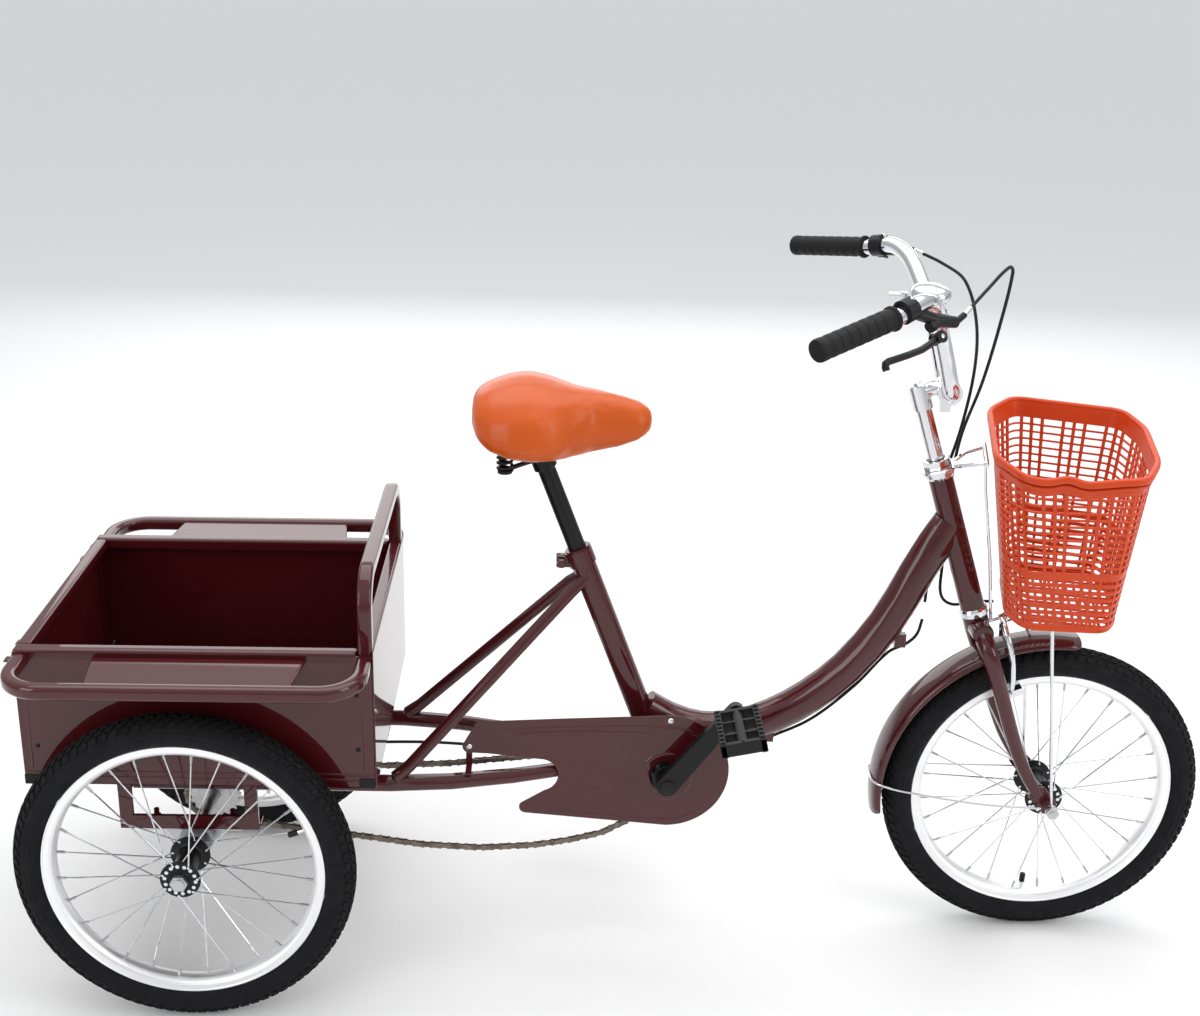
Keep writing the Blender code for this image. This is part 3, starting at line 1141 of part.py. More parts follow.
# ---- the whole tricycle ----------------------------------------------------------------------
def declare_bodies(trike):
    turn = steered(BAR_TURN)
    front = Vector((WHEELBASE, 0.0, TYRE_RADIUS))
    trike.body("root", (0.0, 0.0, 0.0))
    trike.body("steering", HEAD_BASE)
    trike.body("stem", on_head(HEAD_LENGTH))
    trike.body("lever_right", turn @ LEVER_PIVOT[-1])
    trike.body("lever_left", turn @ LEVER_PIVOT[1])
    trike.body("bell_lever", turn @ BELL_LEVER_PIVOT)
    trike.body("brake_arm_right", CALIPER_PIVOT)
    trike.body("brake_arm_left", CALIPER_PIVOT)
    trike.body("front_wheel", front)
    trike.body("right_wheel", (0.0, 0.0, TYRE_RADIUS))
    trike.body("left_wheel", (0.0, 0.0, TYRE_RADIUS))
    trike.body("crank", BOTTOM_BRACKET)
    trike.body("pedal_right", pedal_centre(-1))
    trike.body("pedal_left", pedal_centre(1))
    trike.body("seat", SEAT_TUBE_TOP)
    trike.body("tailgate", HINGE)
    trike.body("latch_right", LATCH)
    trike.body("latch_left", LATCH)


def main():
    clear_scene()
    trike = Assembly()
    declare_bodies(trike)
    build_wheels(trike)
    build_rear_axle(trike)
    build_bearing(trike, -1, "axle_bearing_right")
    build_bearing(trike, 1, "axle_bearing_left")
    build_axle_carrier(trike)
    build_band_brake(trike)
    build_main_frame(trike)
    build_headset(trike)
    build_chain_guard(trike)
    build_chain(trike)
    build_cranks(trike)
    build_pedal(trike, -1, "pedal_right")
    build_pedal(trike, 1, "pedal_left")
    build_saddle(trike)
    build_seat_post(trike)
    build_saddle_frame(trike)
    build_box_floor(trike)
    build_box_side(trike, -1, "box_side_right")
    build_box_side(trike, 1, "box_side_left")
    build_box_front(trike)
    build_side_guard(trike, -1, "side_guard_right")
    build_side_guard(trike, 1, "side_guard_left")
    build_tailgate(trike)
    build_fork(trike)
    build_front_fender(trike)
    build_front_axle(trike)
    build_basket(trike)
    build_basket_bracket(trike)
    build_basket_stay(trike, -1, "basket_stay_right")
    build_basket_stay(trike, 1, "basket_stay_left")
    build_caliper_arm(trike, -1, "brake_arm_right", 0.0)
    build_caliper_arm(trike, 1, "brake_arm_left", 0.0102)
    build_stem(trike)
    build_handlebar(trike)
    build_grip(trike, -1, "grip_right")
    build_grip(trike, 1, "grip_left")
    build_lever_body(trike, -1, "lever_body_right")
    build_lever_body(trike, 1, "lever_body_left")
    build_lever(trike, -1, "lever_right")
    build_lever(trike, 1, "lever_left")
    build_bell(trike)
    build_cables(trike)


main()
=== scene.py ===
"""Looks of an adult cargo tricycle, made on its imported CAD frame.

Everything is in metres.  Route points and outlines are laid out from the rear axle, as in the CAD
design, and BACK moves them into the frame.  Each make_ function builds one sub-part.
"""
import json
from math import atan2, cos, exp, pi, radians, sin

import bmesh
import bpy
from mathutils import Matrix, Vector


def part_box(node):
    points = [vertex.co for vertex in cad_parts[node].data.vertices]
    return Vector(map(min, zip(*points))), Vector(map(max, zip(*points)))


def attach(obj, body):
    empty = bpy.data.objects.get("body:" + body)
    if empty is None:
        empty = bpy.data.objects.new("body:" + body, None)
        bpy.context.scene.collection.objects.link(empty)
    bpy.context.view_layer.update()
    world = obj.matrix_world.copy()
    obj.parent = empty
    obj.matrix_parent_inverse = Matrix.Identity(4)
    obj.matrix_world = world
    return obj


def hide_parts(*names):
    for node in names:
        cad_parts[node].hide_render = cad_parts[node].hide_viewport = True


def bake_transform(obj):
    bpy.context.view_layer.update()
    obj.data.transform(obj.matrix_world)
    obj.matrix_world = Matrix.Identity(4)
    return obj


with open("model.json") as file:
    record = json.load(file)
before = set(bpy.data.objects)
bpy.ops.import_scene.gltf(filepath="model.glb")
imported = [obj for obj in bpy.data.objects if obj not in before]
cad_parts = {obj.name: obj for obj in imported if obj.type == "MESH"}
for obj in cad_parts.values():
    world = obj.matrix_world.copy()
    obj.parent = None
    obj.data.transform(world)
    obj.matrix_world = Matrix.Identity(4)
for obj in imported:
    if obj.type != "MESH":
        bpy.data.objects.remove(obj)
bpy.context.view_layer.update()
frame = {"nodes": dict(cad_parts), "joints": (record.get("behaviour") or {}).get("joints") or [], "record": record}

NODES = frame["nodes"]
JOINTS = {joint["name"]: joint for joint in frame["joints"]}
BODIES = frame["record"]["behaviour"]["bodies"]
BODY_OF = {node: body for body, names in BODIES.items() for node in names}

X_AXIS = Vector((1.0, 0.0, 0.0))
Y_AXIS = Vector((0.0, 1.0, 0.0))
Z_AXIS = Vector((0.0, 0.0, 1.0))


def joint_place(name):
    return Vector(JOINTS[name]["pos_m"])


REAR_AXLE = joint_place("right_wheel_spin")
BACK = Matrix.Translation((REAR_AXLE.x, 0.0, 0.0))
FRONT_AXLE = joint_place("front_wheel_spin")
CRANK_AXIS = joint_place("crank_spin")
STEER_AXIS = Vector(JOINTS["steering_turn"]["axis"]).normalized()
HEAD_BASE = joint_place("steering_turn")
CALIPER_AXIS = Vector((STEER_AXIS.z, 0.0, -STEER_AXIS.x))
BAR_TURN = radians(-5.8)
BASKET_TURN = radians(-12.0)
WHEEL_SEGMENTS = 128


# ---- paths -----------------------------------------------------------------------------------
def steered(angle):
    turn = Matrix.Rotation(angle, 4, STEER_AXIS)
    return Matrix.Translation(HEAD_BASE) @ turn @ Matrix.Translation(-HEAD_BASE)


def on_head(distance):
    return HEAD_BASE + STEER_AXIS * distance


def spot(x, y, z):
    """A design point, laid out from the rear axle, as a point of the frame."""
    return BACK @ Vector((x, y, z))


def placed(points):
    return [spot(*p) for p in points]


def frame_along(origin, direction):
    turn = Vector(direction).normalized().to_track_quat("Z", "Y")
    return Matrix.Translation(origin) @ turn.to_matrix().to_4x4()


def on_circle(radius, turn, height):
    return Vector((radius * cos(turn), radius * sin(turn), height))


def arc(centre, radius, start, end, steps):
    angles = [radians(start + (end - start) * i / steps) for i in range(steps + 1)]
    return [(centre[0] + radius * cos(a), centre[1] + radius * sin(a)) for a in angles]


def smooth_path(points, per_span=4):
    points = [Vector(p) for p in points]
    last = len(points) - 1
    slopes = [(points[min(i + 1, last)] - points[max(i - 1, 0)]).normalized() for i in range(last + 1)]
    path = [points[0]]
    for i in range(last):
        chord = (points[i + 1] - points[i]).length
        for step in range(1, per_span + 1):
            t = step / per_span
            value = points[i] * (2 * t ** 3 - 3 * t ** 2 + 1)
            value += slopes[i] * chord * (t ** 3 - 2 * t ** 2 + t)
            value += points[i + 1] * (3 * t ** 2 - 2 * t ** 3)
            value += slopes[i + 1] * chord * (t ** 3 - t ** 2)
            path.append(value)
    return path


def mirrored(points):
    return [Vector((p[0], -p[1], p[2])) for p in points]


def rounded_corner(before, corner, after, radius, steps=8):
    before, corner, after = Vector(before), Vector(corner), Vector(after)
    start = corner + (before - corner).normalized() * radius
    end = corner + (after - corner).normalized() * radius
    centre = start + end - corner
    turns = [step / steps * pi / 2 for step in range(steps + 1)]
    return [centre + (start - centre) * cos(t) + (end - centre) * sin(t) for t in turns]


def even_steps(path, count):
    """Points at equal distances along a closed path."""
    ends = path[1:] + path[:1]
    lengths = [(b - a).length for a, b in zip(path, ends)]
    step = sum(lengths) / count
    points = []
    travelled = 0.0
    for a, b, length in zip(path, ends, lengths):
        while len(points) * step < travelled + length and len(points) < count:
            points.append(a.lerp(b, (len(points) * step - travelled) / length))
        travelled += length
    return points


def bell_curve(value, width):
    return exp(-(value / width) ** 2)


# ---- solids ----------------------------------------------------------------------------------
def joined(bm, rings, closed=False):
    """Fills the wall between rings of points, and caps both ends unless it closes on itself."""
    sides = len(rings[0])
    pairs = list(zip(rings, rings[1:]))
    if closed:
        pairs.append((rings[-1], rings[0]))
    for lower, upper in pairs:
        for i in range(sides):
            j = (i + 1) % sides
            bm.faces.new((lower[i], lower[j], upper[j], upper[i]))
    if closed:
        return []
    return [bm.faces.new(list(reversed(rings[0]))), bm.faces.new(rings[-1])]


def lathe(profile, matrix=Matrix(), segments=48):
    """Turns (radius, height) about the matrix's Z: a solid between two zero radii, else a ring."""
    bm = bmesh.new()
    rings = []
    for radius, height in profile:
        if radius == 0.0:
            rings.append([bm.verts.new(matrix @ Vector((0.0, 0.0, height)))])
            continue
        turns = [2 * pi * i / segments for i in range(segments)]
        rings.append([bm.verts.new(matrix @ Vector((radius * cos(a), radius * sin(a), height)))
                      for a in turns])
    pairs = list(zip(rings, rings[1:]))
    if profile[0][0] > 0.0:
        pairs.append((rings[-1], rings[0]))
    for lower, upper in pairs:
        for i in range(segments):
            j = (i + 1) % segments
            if len(lower) == 1:
                bm.faces.new((lower[0], upper[j], upper[i]))
            elif len(upper) == 1:
                bm.faces.new((lower[i], lower[j], upper[0]))
            else:
                bm.faces.new((lower[i], lower[j], upper[j], upper[i]))
    return bm


def rod(start, end, radius, segments=24, round_edge=0.0):
    """A round bar; round_edge takes the corner off both ends."""
    start, end = Vector(start), Vector(end)
    length = (end - start).length
    e = round_edge
    profile = [(0.0, 0.0), (radius, 0.0), (radius, length), (0.0, length)]
    if e:
        profile = [(0.0, 0.0), (radius - e, 0.0), (radius - e * 0.3, e * 0.3), (radius, e),
                   (radius, length - e), (radius - e * 0.3, length - e * 0.3), (radius - e, length),
                   (0.0, length)]
    return lathe(profile, frame_along(start, end - start), segments)


def pipe(start, end, outer, inner, segments=32):
    start, end = Vector(start), Vector(end)
    length = (end - start).length
    edge = min(0.0006, (outer - inner) / 3)
    profile = [(inner, 0.0), (outer - edge, 0.0), (outer, edge), (outer, length - edge),
               (outer - edge, length), (inner, length)]
    return lathe(profile, frame_along(start, end - start), segments)


def rod_y(x, z, start, end, *shape):
    """A round bar along Y."""
    return rod((x, start, z), (x, end, z), *shape)


def pipe_y(x, z, start, end, *shape):
    return pipe((x, start, z), (x, end, z), *shape)


def circle_section(radius, sides, squash=1.0):
    turns = [2 * pi * i / sides for i in range(sides)]
    return [(radius * cos(a), radius * squash * sin(a)) for a in turns]


def rounded_section(wide, tall, radius, steps=4):
    """A rectangle with round corners, centred on the path."""
    points = []
    for quarter, (sx, sy) in enumerate(((1, 1), (-1, 1), (-1, -1), (1, -1))):
        centre = (sx * (wide / 2 - radius), sy * (tall / 2 - radius))
        points += arc(centre, radius, quarter * 90, quarter * 90 + 90, steps)
    return points


def sweep(path, section, up=Z_AXIS, scales=None, closed=False):
    path = [Vector(p) for p in path]
    count = len(path)
    bm = bmesh.new()
    rings = []
    normal = Vector(up)
    for i in range(count):
        before = path[i - 1] if closed else path[max(i - 1, 0)]
        after = path[(i + 1) % count] if closed else path[min(i + 1, count - 1)]
        tangent = (after - before).normalized()
        normal = (normal - tangent * normal.dot(tangent)).normalized()
        side = tangent.cross(normal)
        wide, tall = scales[i] if scales else (1.0, 1.0)
        rings.append([bm.verts.new(path[i] + side * a * wide + normal * b * tall) for a, b in section])
    joined(bm, rings, closed)
    return bm


def tube(path, radius, sides=16, up=Z_AXIS, sizes=None):
    scales = [(size, size) for size in sizes] if sizes else None
    return sweep(path, circle_section(radius, sides), up, scales)


def block(low, high, round_edge=0.0, segments=3):
    low, high = Vector(low), Vector(high)
    bm = bmesh.new()
    matrix = Matrix.Translation((low + high) / 2) @ Matrix.Diagonal((*(high - low), 1.0))
    bmesh.ops.create_cube(bm, size=1.0, matrix=matrix)
    if round_edge:
        bmesh.ops.bevel(bm, geom=bm.edges[:], offset=round_edge, segments=segments, profile=0.5,
                        affect="EDGES")
    return bm


def slab(centre, half, round_edge=0.0, segments=3):
    """A block by its centre and half its size."""
    centre, half = Vector(centre), Vector(half)
    return block(centre - half, centre + half, round_edge, segments)


def design_block(low, high, round_edge=0.0006, segments=2):
    """A block between two design points."""
    return block(spot(*low), spot(*high), round_edge, segments)


def plate(outline, start, thickness, normal="Y", round_edge=0.0):
    """Extrudes an outline: (x, z) points along Y, (x, y) along Z, or (y, z) along X."""
    places = {
        "Y": lambda a, b, h: Vector((a, h, b)),
        "Z": lambda a, b, h: Vector((a, b, h)),
        "X": lambda a, b, h: Vector((h, a, b)),
    }
    bm = bmesh.new()
    rings = []
    for height in (start, start + thickness):
        rings.append([bm.verts.new(places[normal](a, b, height)) for a, b in outline])
    caps = joined(bm, rings)
    if round_edge:
        rims = list({edge for cap in caps for edge in cap.edges})
        bmesh.ops.bevel(bm, geom=rims, offset=round_edge, segments=2, profile=0.5, affect="EDGES")
    return bm


def ring_plate(outer, inner, start, thickness):
    """A flat ring along Y between two (x, z) outlines that have the same number of points."""
    bm = bmesh.new()
    rows = []
    for outline, height in ((outer, start), (outer, start + thickness),
                            (inner, start + thickness), (inner, start)):
        rows.append([bm.verts.new((a, height, b)) for a, b in outline])
    joined(bm, rows, True)
    return bm


def merged(parts):
    whole = bmesh.new()
    for part in parts:
        mesh = bpy.data.meshes.new("part")
        bmesh.ops.recalc_face_normals(part, faces=part.faces)
        part.to_mesh(mesh)
        whole.from_mesh(mesh)
        bpy.data.meshes.remove(mesh)
        part.free()
    return whole


def moved(bm, matrix):
    bmesh.ops.transform(bm, matrix=matrix, verts=bm.verts)
    return bm


# ---- materials -------------------------------------------------------------------------------
SHINE = "Specular IOR Level"
METAL = {"Metallic": 1.0}
NOISE_DETAIL = 3.0
# each finish: its colour, its roughness, other looks, what noise varies, and its bump
FINISHES = {
    "maroon_paint": ((0.056, 0.0048, 0.0068), 0.40,
                     {"Coat Weight": 1.0, "Coat Roughness": 0.025, SHINE: 0.04},
                     ("Base Color", (0.050, 0.0042, 0.0060), (0.064, 0.0056, 0.0080), 900.0),
                     ("noise", 60.0, 0.02, 0.0004)),
    "tyre": ((0.007, 0.007, 0.008), 0.72, {SHINE: 0.16}, ("Roughness", 0.62, 0.85, 60.0),
             ("noise", 900.0, 0.25, 0.0004)),
    "rubber": ((0.008, 0.008, 0.009), 0.60, {SHINE: 0.22}, None, ("noise", 1500.0, 0.20, 0.0003)),
    "rim_alloy": ((0.92, 0.92, 0.93), 0.40, METAL, ("Roughness", 0.34, 0.46, 40.0), None),
    "chrome": ((0.70, 0.71, 0.73), 0.10, METAL, ("Roughness", 0.07, 0.15, 30.0), None),
    "steel": ((0.52, 0.52, 0.53), 0.32, METAL, ("Roughness", 0.24, 0.42, 120.0),
              ("noise", 700.0, 0.06, 0.0003)),
    "black_metal": ((0.006, 0.006, 0.007), 0.34, {SHINE: 0.24}, None, ("noise", 350.0, 0.05, 0.0003)),
    "black_plastic": ((0.008, 0.008, 0.009), 0.46, {SHINE: 0.24}, None,
                      ("noise", 800.0, 0.12, 0.0003)),
    "orange_vinyl": ((0.52, 0.080, 0.007), 0.30, {SHINE: 0.30},
                     ("Base Color", (0.50, 0.076, 0.006), (0.55, 0.088, 0.008), 12.0),
                     ("voronoi", 420.0, 0.16, 0.0005)),
    "orange_plastic": ((0.56, 0.050, 0.004), 0.36,
                       {SHINE: 0.32, "Subsurface Weight": 0.08, "Subsurface Scale": 0.004}, None,
                       ("noise", 300.0, 0.05, 0.0003)),
    "chain_steel": ((0.17, 0.14, 0.11), 0.38, METAL,
                    ("Base Color", (0.12, 0.10, 0.08), (0.26, 0.22, 0.18), 90.0), None),
}


def principled(name, colour, roughness, looks=()):
    material = bpy.data.materials.new(name)
    material.use_nodes = True
    shader = material.node_tree.nodes["Principled BSDF"]
    sockets = {"Base Color": (*colour, 1.0), "Roughness": roughness, **dict(looks)}
    for socket, value in sockets.items():
        shader.inputs[socket].default_value = value
    return material


def texture(material, kind, scale):
    """The output of a texture laid in the object's own coordinates."""
    tree = material.node_tree
    place = tree.nodes.new("ShaderNodeTexCoord")
    node = tree.nodes.new("ShaderNodeTexNoise" if kind == "noise" else "ShaderNodeTexVoronoi")
    node.inputs["Scale"].default_value = scale
    if kind == "noise":
        node.inputs["Detail"].default_value = NOISE_DETAIL
    tree.links.new(place.outputs["Object"], node.inputs["Vector"])
    return node.outputs["Fac"] if kind == "noise" else node.outputs["Distance"]


def add_bump(material, kind, scale, strength, depth):
    tree = material.node_tree
    bump = tree.nodes.new("ShaderNodeBump")
    bump.inputs["Strength"].default_value = strength
    bump.inputs["Distance"].default_value = depth
    tree.links.new(texture(material, kind, scale), bump.inputs["Height"])
    tree.links.new(bump.outputs["Normal"], tree.nodes["Principled BSDF"].inputs["Normal"])


def colour_ramp(tree, *stops):
    """A ramp node between two (position, colour) stops."""
    ramp = tree.nodes.new("ShaderNodeValToRGB")
    for element, (position, colour) in zip(ramp.color_ramp.elements, stops):
        element.position = position
        element.color = (*colour, 1.0)
    return ramp


def vary(material, socket, low, high, scale):
    """Lets noise move a socket between two values, which are both numbers or both colours."""
    tree = material.node_tree
    source = texture(material, "noise", scale)
    target = tree.nodes["Principled BSDF"].inputs[socket]
    if isinstance(low, tuple):
        ramp = colour_ramp(tree, (0.3, low), (0.7, high))
        tree.links.new(source, ramp.inputs["Fac"])
        tree.links.new(ramp.outputs["Color"], target)
        return
    spread = tree.nodes.new("ShaderNodeMapRange")
    for name, value in (("From Min", 0.3), ("From Max", 0.7), ("To Min", low), ("To Max", high)):
        spread.inputs[name].default_value = value
    tree.links.new(source, spread.inputs["Value"])
    tree.links.new(spread.outputs["Result"], target)


def make_material(name):
    colour, roughness, looks, noise, bump = FINISHES[name]
    material = principled(name, colour, roughness, looks)
    if noise:
        vary(material, *noise)
    if bump:
        add_bump(material, *bump)
    return material


MATERIALS = {name: make_material(name) for name in FINISHES}


# ---- pieces ----------------------------------------------------------------------------------
def slot_of(node):
    for row in frame["record"]["subparts"]:
        if row["node"] == node:
            return row["material_slot"]
    return None


def make_piece(name, bm, body, slot, replaces=(), smooth=38.0):
    """A piece from one solid, or from a list of them; body None leaves the riding to the caller."""
    if isinstance(bm, list):
        bm = merged(bm)
    bmesh.ops.recalc_face_normals(bm, faces=bm.faces)
    mesh = bpy.data.meshes.new(name)
    bm.to_mesh(mesh)
    bm.free()
    mesh.materials.append(MATERIALS[slot])
    mesh.shade_smooth()
    mesh.set_sharp_from_angle(angle=radians(smooth))
    piece = bpy.data.objects.new(name, mesh)
    bpy.context.scene.collection.objects.link(piece)
    if replaces:
        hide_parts(*replaces)
    if body:
        even = piece.modifiers.new("normals", "WEIGHTED_NORMAL")
        even.keep_sharp = True
        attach(piece, body)
    return piece


def applied(piece):
    """Makes a piece's modifiers part of its mesh."""
    graph = bpy.context.evaluated_depsgraph_get()
    mesh = bpy.data.meshes.new_from_object(piece.evaluated_get(graph))
    piece.modifiers.clear()
    piece.data = mesh


def soften(piece, width, segments=2, angle=32.0):
    """Rounds every sharp edge of a piece."""
    step = piece.modifiers.new("edges", "BEVEL")
    step.width = width
    step.segments = segments
    step.limit_method = "ANGLE"
    step.angle_limit = radians(angle)
    step.harden_normals = True
    return piece


def node_mesh(node):
    """A copy of a CAD node's mesh with its corners joined."""
    bm = bmesh.new()
    bm.from_mesh(NODES[node].data)
    bmesh.ops.remove_doubles(bm, verts=bm.verts, dist=2e-6)
    return bm


def refined(node, width, segments=2, angle=32.0):
    """A CAD node's own shape with its flat faces cleaned up and its edges rounded."""
    bm = node_mesh(node)
    bmesh.ops.dissolve_limit(bm, angle_limit=radians(0.6), verts=bm.verts, edges=bm.edges,
                             use_dissolve_boundaries=False)
    piece = make_piece(node + "_fine", bm, BODY_OF[node], slot_of(node), [node])
    return soften(piece, width, segments, angle)


# ---- wheels ----------------------------------------------------------------------------------
TYRE_RADIUS = REAR_AXLE.z
SECTION_RADIUS = 0.0235
TREAD_DEPTH = 0.0026
RIM_RADIUS = 0.1886
RIM_INNER = 0.1716
SPOKES_PER_FLANGE = 14
TREAD_PITCHES = 92
# each row: the section angles it covers, its share of the pitch, its shift along the tread, slant
TREAD_ROWS = [(79.0, 101.0, 0.66, 0.0, 0.0), (58.0, 75.0, 0.60, 0.5, 0.20),
              (105.0, 122.0, 0.60, 0.5, -0.20), (31.0, 54.0, 0.52, 0.0, 0.10),
              (126.0, 149.0, 0.52, 0.0, -0.10)]
FRONT_BORE, REAR_BORE = 0.0053, 0.0089
HUB_HALF_WIDTH = 0.0310
HUB_FLANGE = 0.0270
SPOKE_CIRCLE = 0.0235
HOLE_CIRCLE = 0.0205


def torus_point(matrix, turn, section_angle, radius):
    """A point of the tyre: turn goes round the wheel, section_angle round the tyre's section."""
    out = TYRE_RADIUS - SECTION_RADIUS + radius * sin(section_angle)
    return matrix @ Vector((out * cos(turn), out * sin(turn), radius * cos(section_angle)))


def make_tread(matrix):
    bm = bmesh.new()
    low, high = SECTION_RADIUS - TREAD_DEPTH - 0.0006, SECTION_RADIUS - 0.0002
    pitch = 2 * pi / TREAD_PITCHES
    for start, end, share, shift, slant in TREAD_ROWS:
        half = share * pitch / 2
        for i in range(TREAD_PITCHES):
            middle = (i + shift) * pitch
            corners = [(-half, start, -slant), (half, start, -slant),
                       (half, end, slant), (-half, end, slant)]
            rings = []
            for radius, inset in ((low, 1.0), (high - 0.0006, 1.0), (high, 0.86)):
                ring = []
                for turn, angle, lean in corners:
                    centred = (start + end) / 2 + (angle - (start + end) / 2) * inset
                    at = middle + turn * inset + lean * pitch
                    ring.append(bm.verts.new(torus_point(matrix, at, radians(centred), radius)))
                rings.append(ring)
            joined(bm, rings)
    return bm


def tyre_profile():
    """The casing's section, with two thin ribs on each side wall."""
    centre = TYRE_RADIUS - SECTION_RADIUS
    casing = SECTION_RADIUS - TREAD_DEPTH
    steps = 60
    profile = []
    for i in range(steps + 1):
        angle = -54.0 + 288.0 * i / steps
        rise = 0.0
        for rib in (-6.0, 14.0, 166.0, 186.0):
            rise = max(rise, 0.0009 * max(0.0, 1.0 - abs(angle - rib) / 5.0))
        a = radians(angle)
        profile.append((centre + (casing + rise) * sin(a), (casing + rise) * cos(a)))
    bead = RIM_RADIUS + 0.0006
    profile[0] = (bead, 0.0120)
    profile[-1] = (bead, -0.0120)
    return profile


def rim_profile():
    """A box-section rim with a flat brake track and a rolled lip."""
    half = [(RIM_INNER, 0.0035), (RIM_INNER + 0.0008, 0.0062), (RIM_INNER + 0.0030, 0.0104),
            (RIM_INNER + 0.0050, 0.0123), (RIM_INNER + 0.0066, 0.0127), (RIM_INNER + 0.0074, 0.0133),
            (RIM_RADIUS - 0.0030, 0.0137), (RIM_RADIUS - 0.0024, 0.0144), (RIM_RADIUS - 0.0006, 0.0145),
            (RIM_RADIUS, 0.0136), (RIM_RADIUS - 0.0012, 0.0126)]
    return half + [(r, -h) for r, h in reversed(half)]


def hub_profile(bore):
    half, flange = HUB_HALF_WIDTH, HUB_FLANGE
    side = [(0.0156, half - 0.0090), (0.0162, half - 0.0066), (0.0190, half - 0.0040),
            (flange - 0.0012, half - 0.0034), (flange, half - 0.0026), (flange, half - 0.0010),
            (flange - 0.0010, half), (0.0158, half), (0.0142, half + 0.0006), (0.0130, half + 0.0028),
            (0.0118, half + 0.0030), (bore, half + 0.0030)]
    return [(r, -h) for r, h in reversed(side)] + side


def spoke_lines():
    """Each spoke as (hub end, rim end, side), with the wheel's axis along Z, crossed once."""
    pitch = 2 * pi / SPOKES_PER_FLANGE
    lines = []
    for side in (1, -1):
        for i in range(SPOKES_PER_FLANGE):
            lead = 1 if i % 2 else -1
            start = pitch * (i + (0.25 if side > 0 else 0.75))
            end = start + lead * pitch
            height = side * (HUB_HALF_WIDTH - 0.0015) + lead * 0.0019
            lines.append((on_circle(SPOKE_CIRCLE, start, height),
                          on_circle(RIM_INNER, end, side * 0.0018), side))
    return lines


def make_wheel(prefix, centre, body, bore, valve_angle):
    matrix = frame_along(centre, Y_AXIS)
    casing = lathe(tyre_profile(), matrix, WHEEL_SEGMENTS)
    make_piece(prefix + "_tyre_fine", merged([casing, make_tread(matrix)]), body, "tyre",
               [prefix + "_tyre"], 30.0)
    make_piece(prefix + "_rim_fine", lathe(rim_profile(), matrix, WHEEL_SEGMENTS), body, "rim_alloy",
               [prefix + "_rim"], 30.0)
    make_piece(prefix + "_hub", lathe(hub_profile(bore), matrix, 64), body, "black_metal",
               [prefix + "_hub_spokes"])

    def bar(start, end, *shape):
        return rod(matrix @ start, matrix @ end, *shape)

    wires, nipples, heads, holes = [], [], [], []
    for start, end, side in spoke_lines():
        inward = (start - end).normalized()
        outward = Z_AXIS * side
        wires.append(bar(start, end + inward * 0.006, 0.00105, 8))
        nipples.append(bar(end - inward * 0.001, end + inward * 0.0105, 0.0019, 8))
        heads.append(bar(start - outward * 0.0010, start + outward * 0.0022, 0.0019, 10, 0.0005))
    make_piece(prefix + "_spokes", wires + heads, body, "chrome")
    for side in (1, -1):
        for i in range(SPOKES_PER_FLANGE):
            turn = 2 * pi * (i + (0.75 if side > 0 else 0.25)) / SPOKES_PER_FLANGE
            foot = on_circle(HOLE_CIRCLE, turn, side * (HUB_HALF_WIDTH - 0.0010))
            holes.append(bar(foot, foot + Z_AXIS * side * 0.0012, 0.0026, 16))
    make_piece(prefix + "_hub_holes", holes, body, "chrome")
    make_piece(prefix + "_nipples", nipples, body, "steel")
    turn = radians(valve_angle)
    out = Vector((cos(turn), 0.0, sin(turn)))
    foot = centre + out * (RIM_INNER + 0.001)
    stem = rod(foot, foot - out * 0.011, 0.0031, 20, 0.0006)
    make_piece(prefix + "_valve_stem", stem, body, "chrome")
    cap = rod(foot - out * 0.010, foot - out * 0.024, 0.0040, 20, 0.0012)
    make_piece(prefix + "_valve_cap", cap, body, "black_plastic")


def make_wheels():
    make_wheel("front", FRONT_AXLE, "front_wheel", FRONT_BORE, 268.0)
    for side, valve_angle in (("right", 20.0), ("left", 200.0)):
        low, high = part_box(side + "_tyre")
        centre = Vector((REAR_AXLE.x, (low.y + high.y) / 2, REAR_AXLE.z))
        make_wheel(side, centre, side + "_wheel", REAR_BORE, valve_angle)


# ---- chain, sprocket, chainring ---------------------------------------------------------------
CHAIN_LINE = -0.0480
CHAIN_HALF = 0.0042
RING_RADIUS = 0.0728
SPROCKET_RADIUS = 0.0364
CHAIN_PITCH = 0.0127


def chain_route():
    ring = RING_RADIUS + CHAIN_HALF + 0.0003
    small = SPROCKET_RADIUS + CHAIN_HALF + 0.0003
    centre = (CRANK_AXIS.x - REAR_AXLE.x, CRANK_AXIS.z)
    path = arc(centre, ring, -115, 108, 60)
    path += [(0.5600, 0.3240), (0.4640, 0.2975), (0.3400, 0.2830), (0.2000, 0.2750), (0.1000, 0.2715)]
    path += arc((0.0, REAR_AXLE.z), small, 88, 262, 40)
    path += [(0.0700, 0.1800), (0.1400, 0.1700), (0.2083, 0.1610), (0.2956, 0.1480),
             (0.3832, 0.1436), (0.4600, 0.1490), (0.5100, 0.1580), (0.5600, 0.1715)]
    return placed([(x, CHAIN_LINE, z) for x, z in path])


def link_plate(a, b, y, thickness, radius):
    """A chain's side plate, from pin a to pin b, narrower at its waist."""
    heading = atan2(b.z - a.z, b.x - a.x) * 180 / pi
    outline = arc((a.x, a.z), radius, heading + 50, heading + 310, 7)
    outline += arc((b.x, b.z), radius, heading - 130, heading + 130, 7)
    return plate(outline, y - thickness / 2, thickness)


